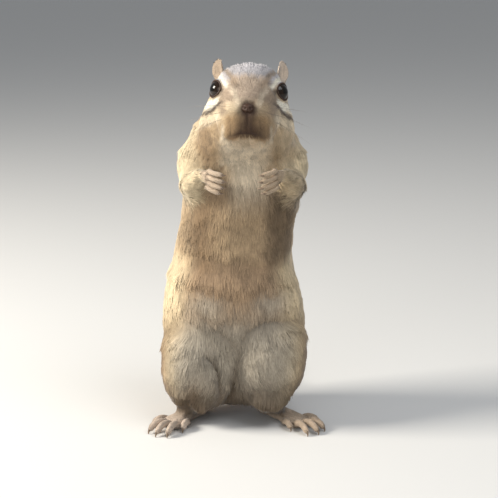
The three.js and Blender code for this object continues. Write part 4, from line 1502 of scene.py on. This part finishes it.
class CHIPMUNK_OT_eyes(bpy.types.Operator):
    """Builds both eyeballs"""

    bl_idname = "chipmunk.eyes"
    bl_label = "Eyes"

    def execute(self, context):
        material = eye_material()
        for name, side in SIDES.items():
            eye = Eye(side)
            points, triangles = eyeball(eye)
            piece = new_piece(f"eyeball_{name}", points, triangles, material)
            off_axis = eye.angles(points)[1]
            ring = smoothstep(0.36, 0.46, off_axis) * (1 - smoothstep(0.82, 0.95, off_axis))
            add_values(piece.data, "iris", "FLOAT", ring)
            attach(piece, BODY)
            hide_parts(f"eye_{name}")
        return {"FINISHED"}


def eyeball(eye):
    """A sphere whose poles lie along the way the eye looks, plus a bell that swells it over the iris."""
    rows, ring = 40, 56
    radius, swelling = EYE_RADIUS - 0.1, 0.28
    off_axis = (np.pi * np.arange(1, rows + 1) / (rows + 1))[:, None]
    angle = (2 * np.pi * np.arange(ring) / ring)[None]
    far = radius + swelling * bell(off_axis, 0.45) + 0 * angle
    grid = far[..., None] * eye.direction(off_axis + 0 * angle, angle + 0 * off_axis)
    ends = radius * np.stack([eye.look * (1 + swelling / EYE_RADIUS), -eye.look])
    points = eye.centre + np.vstack([ends[:1], grid.reshape(-1, 3), ends[1:]])
    triangles = grid_triangles(rows, ring)
    return points, triangles if eye.side < 0 else triangles[:, ::-1]


def root_to_tip(points, count):
    """A value that runs from 0 to 1 over the points of each of so many like shells."""
    return np.tile(np.linspace(0, 1, len(points) // count), count)


class CHIPMUNK_OT_claws(bpy.types.Operator):
    """Builds the eighteen claws as one piece"""

    bl_idname = "chipmunk.claws"
    bl_label = "Claws"

    def execute(self, context):
        digits = [d for side in SIDES.values() for d in Hand(side).digits()]
        digits += [d for name in SIDES for d in Foot(name).digits()]
        points, triangles, _ = joined([digit.nail() for digit in digits])
        piece = new_piece("claws", off_floor(points, FLOOR_GAP), triangles, horn_material())
        add_values(piece.data, "along", "FLOAT", root_to_tip(points, len(digits)))
        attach(piece, BODY)
        return {"FINISHED"}


class CHIPMUNK_OT_whiskers(bpy.types.Operator):
    """Builds the whiskers of the lips"""

    bl_idname = "chipmunk.whiskers"
    bl_label = "Whiskers"

    def execute(self, context):
        rows = [(row, place) for row in range(3) for place in range(3)]
        shells = [whisker(side, *where) for side in SIDES.values() for where in rows]
        points, triangles, _ = joined(shells)
        piece = new_piece("whiskers", points, triangles, whisker_material())
        add_values(piece.data, "along", "FLOAT", root_to_tip(points, len(shells)))
        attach(piece, BODY)
        return {"FINISHED"}


def whisker(side, row, place):
    """A round profile along a line from the lip. At a share s of its reach the line is s outwards plus 0.45 s
    squared backwards and down, and it thins to its tip."""
    start = on_head((35.6 - 1.5 * place, -1.2 - 1.2 * row, side * (5.0 + 0.45 * place)))
    reach = 9 + 2.6 * place + 0.8 * row
    out = unit(vector(0.25 - 0.22 * place, 0.25 - 0.3 * row, side) @ HEAD_AXES)
    sweep = unit(vector(-0.8, -0.5, 0.3 * side) @ HEAD_AXES)
    shares = np.array([0, 0.3, 0.65, 1.0])[:, None]
    knots = start - 0.8 * out + reach * (shares * out + 0.45 * shares**2 * sweep)
    reaches = np.array([0.05, 0.042, 0.03, 0.012])[:, None] * np.ones(3)
    return carried(knots, reaches, AHEAD, rows=14, ring=6, ends=(0.02, 0.02))


# Each light's name, the way to it from where it is aimed, its distance and size in metres, its power in watts
# and its colour. The camera looks at the same place, from CAMERA_RISE above the level.
LIGHTS = (
    ("key", (-0.9, -0.16, 0.55), 0.75, 0.26, 8.2, (1, 0.95, 0.86)),
    ("fill", (-0.3, -1, 0.35), 0.9, 0.6, 1.7, (0.95, 0.97, 1)),
    ("sky", (0.5, -0.5, 1), 0.9, 0.5, 3.0, (0.93, 0.96, 1)),
)
WORLD_COLOUR = (0.86, 0.9, 0.95, 1)
WORLD_STRENGTH = 0.34
FLOOR_REACH = 15000.0
AIM = vector(5.47, 1.03, 63)
CAMERA_GAP = 480
CAMERA_RISE = np.radians(13)
CAMERA_LENS = 95.4
CAMERA_SENSOR = 36


class CHIPMUNK_OT_stage(bpy.types.Operator):
    """Lays the floor and sets the lights and the camera"""

    bl_idname = "chipmunk.stage"
    bl_label = "Stage"

    def execute(self, context):
        scene = context.scene
        corners = np.array([[-1, -1, 0], [1, -1, 0], [1, 1, 0], [-1, 1, 0]]) * FLOOR_REACH
        floor = new_piece("floor", corners, np.array([[0, 1, 2], [0, 2, 3]]), floor_material())
        floor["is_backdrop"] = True
        world = bpy.data.worlds.new("studio")
        world.use_nodes = True
        sky = world.node_tree.nodes["Background"].inputs
        sky["Color"].default_value = WORLD_COLOUR
        sky["Strength"].default_value = WORLD_STRENGTH
        scene.world = world
        scene.view_settings.view_transform = "Standard"
        for light in LIGHTS:
            add_light(*light)
        camera = bpy.data.objects.new("camera", bpy.data.cameras.new("camera"))
        camera.data.lens = CAMERA_LENS
        camera.data.sensor_width = CAMERA_SENSOR
        camera.data.clip_start = 0.01
        camera.data.clip_end = 60
        place = AIM + CAMERA_GAP * vector(0, -np.cos(CAMERA_RISE), np.sin(CAMERA_RISE))
        camera.location = (place - PLAN_SHIFT) * MM
        camera.rotation_euler = (np.pi / 2 - CAMERA_RISE, 0, 0)
        scene.collection.objects.link(camera)
        scene.camera = camera
        return {"FINISHED"}


def add_light(name, direction, distance, size, power, colour):
    """A square soft light, that many metres from the point it is aimed at."""
    lamp = bpy.data.lights.new(name, "AREA")
    lamp.size, lamp.energy, lamp.color = size, power, colour
    light = bpy.data.objects.new(name, lamp)
    way = Vector(direction).normalized()
    light.location = Vector((AIM - PLAN_SHIFT) * MM) + distance * way
    light.rotation_euler = way.to_track_quat("Z", "Y").to_euler()
    bpy.context.scene.collection.objects.link(light)


class CHIPMUNK_PT_parts(bpy.types.Panel):
    """The chipmunk's settings and the operators that build it."""

    bl_label = "Chipmunk"
    bl_idname = "CHIPMUNK_PT_parts"
    bl_space_type = "VIEW_3D"
    bl_region_type = "UI"
    bl_category = "Chipmunk"

    def draw(self, context):
        for settings in (context.scene.chipmunk_coat, context.scene.chipmunk_colours):
            box = self.layout.box()
            for name in type(settings).__annotations__:
                box.prop(settings, name)
        for operator in OPERATORS:
            self.layout.operator(operator.bl_idname)


OPERATORS = (
    CHIPMUNK_OT_skin,
    CHIPMUNK_OT_eyes,
    CHIPMUNK_OT_claws,
    CHIPMUNK_OT_whiskers,
    CHIPMUNK_OT_coat,
    CHIPMUNK_OT_stage,
)
CLASSES = (ChipmunkColours, ChipmunkCoat, *OPERATORS, CHIPMUNK_PT_parts)


def register():
    """Registers the classes and hangs both groups of settings on the scene."""
    for each in CLASSES:
        bpy.utils.register_class(each)
    bpy.types.Scene.chipmunk_colours = PointerProperty(type=ChipmunkColours)
    bpy.types.Scene.chipmunk_coat = PointerProperty(type=ChipmunkCoat)


def unregister():
    """Undoes what register did, in reverse."""
    del bpy.types.Scene.chipmunk_coat
    del bpy.types.Scene.chipmunk_colours
    for each in reversed(CLASSES):
        bpy.utils.unregister_class(each)


def main():
    """Builds every piece and the stage, and works out the boxes of the solids and of what is seen, in metres.
    """
    register()
    bpy.ops.chipmunk.skin()
    bpy.ops.chipmunk.eyes()
    bpy.ops.chipmunk.claws()
    bpy.ops.chipmunk.whiskers()
    bpy.ops.chipmunk.coat()
    bpy.ops.chipmunk.stage()
    boxes = {"cad": CAD_BOX, "visual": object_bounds()}
    {name: [list(corner) for corner in box] for name, box in boxes.items()}


if __name__ == "__main__":
    main()
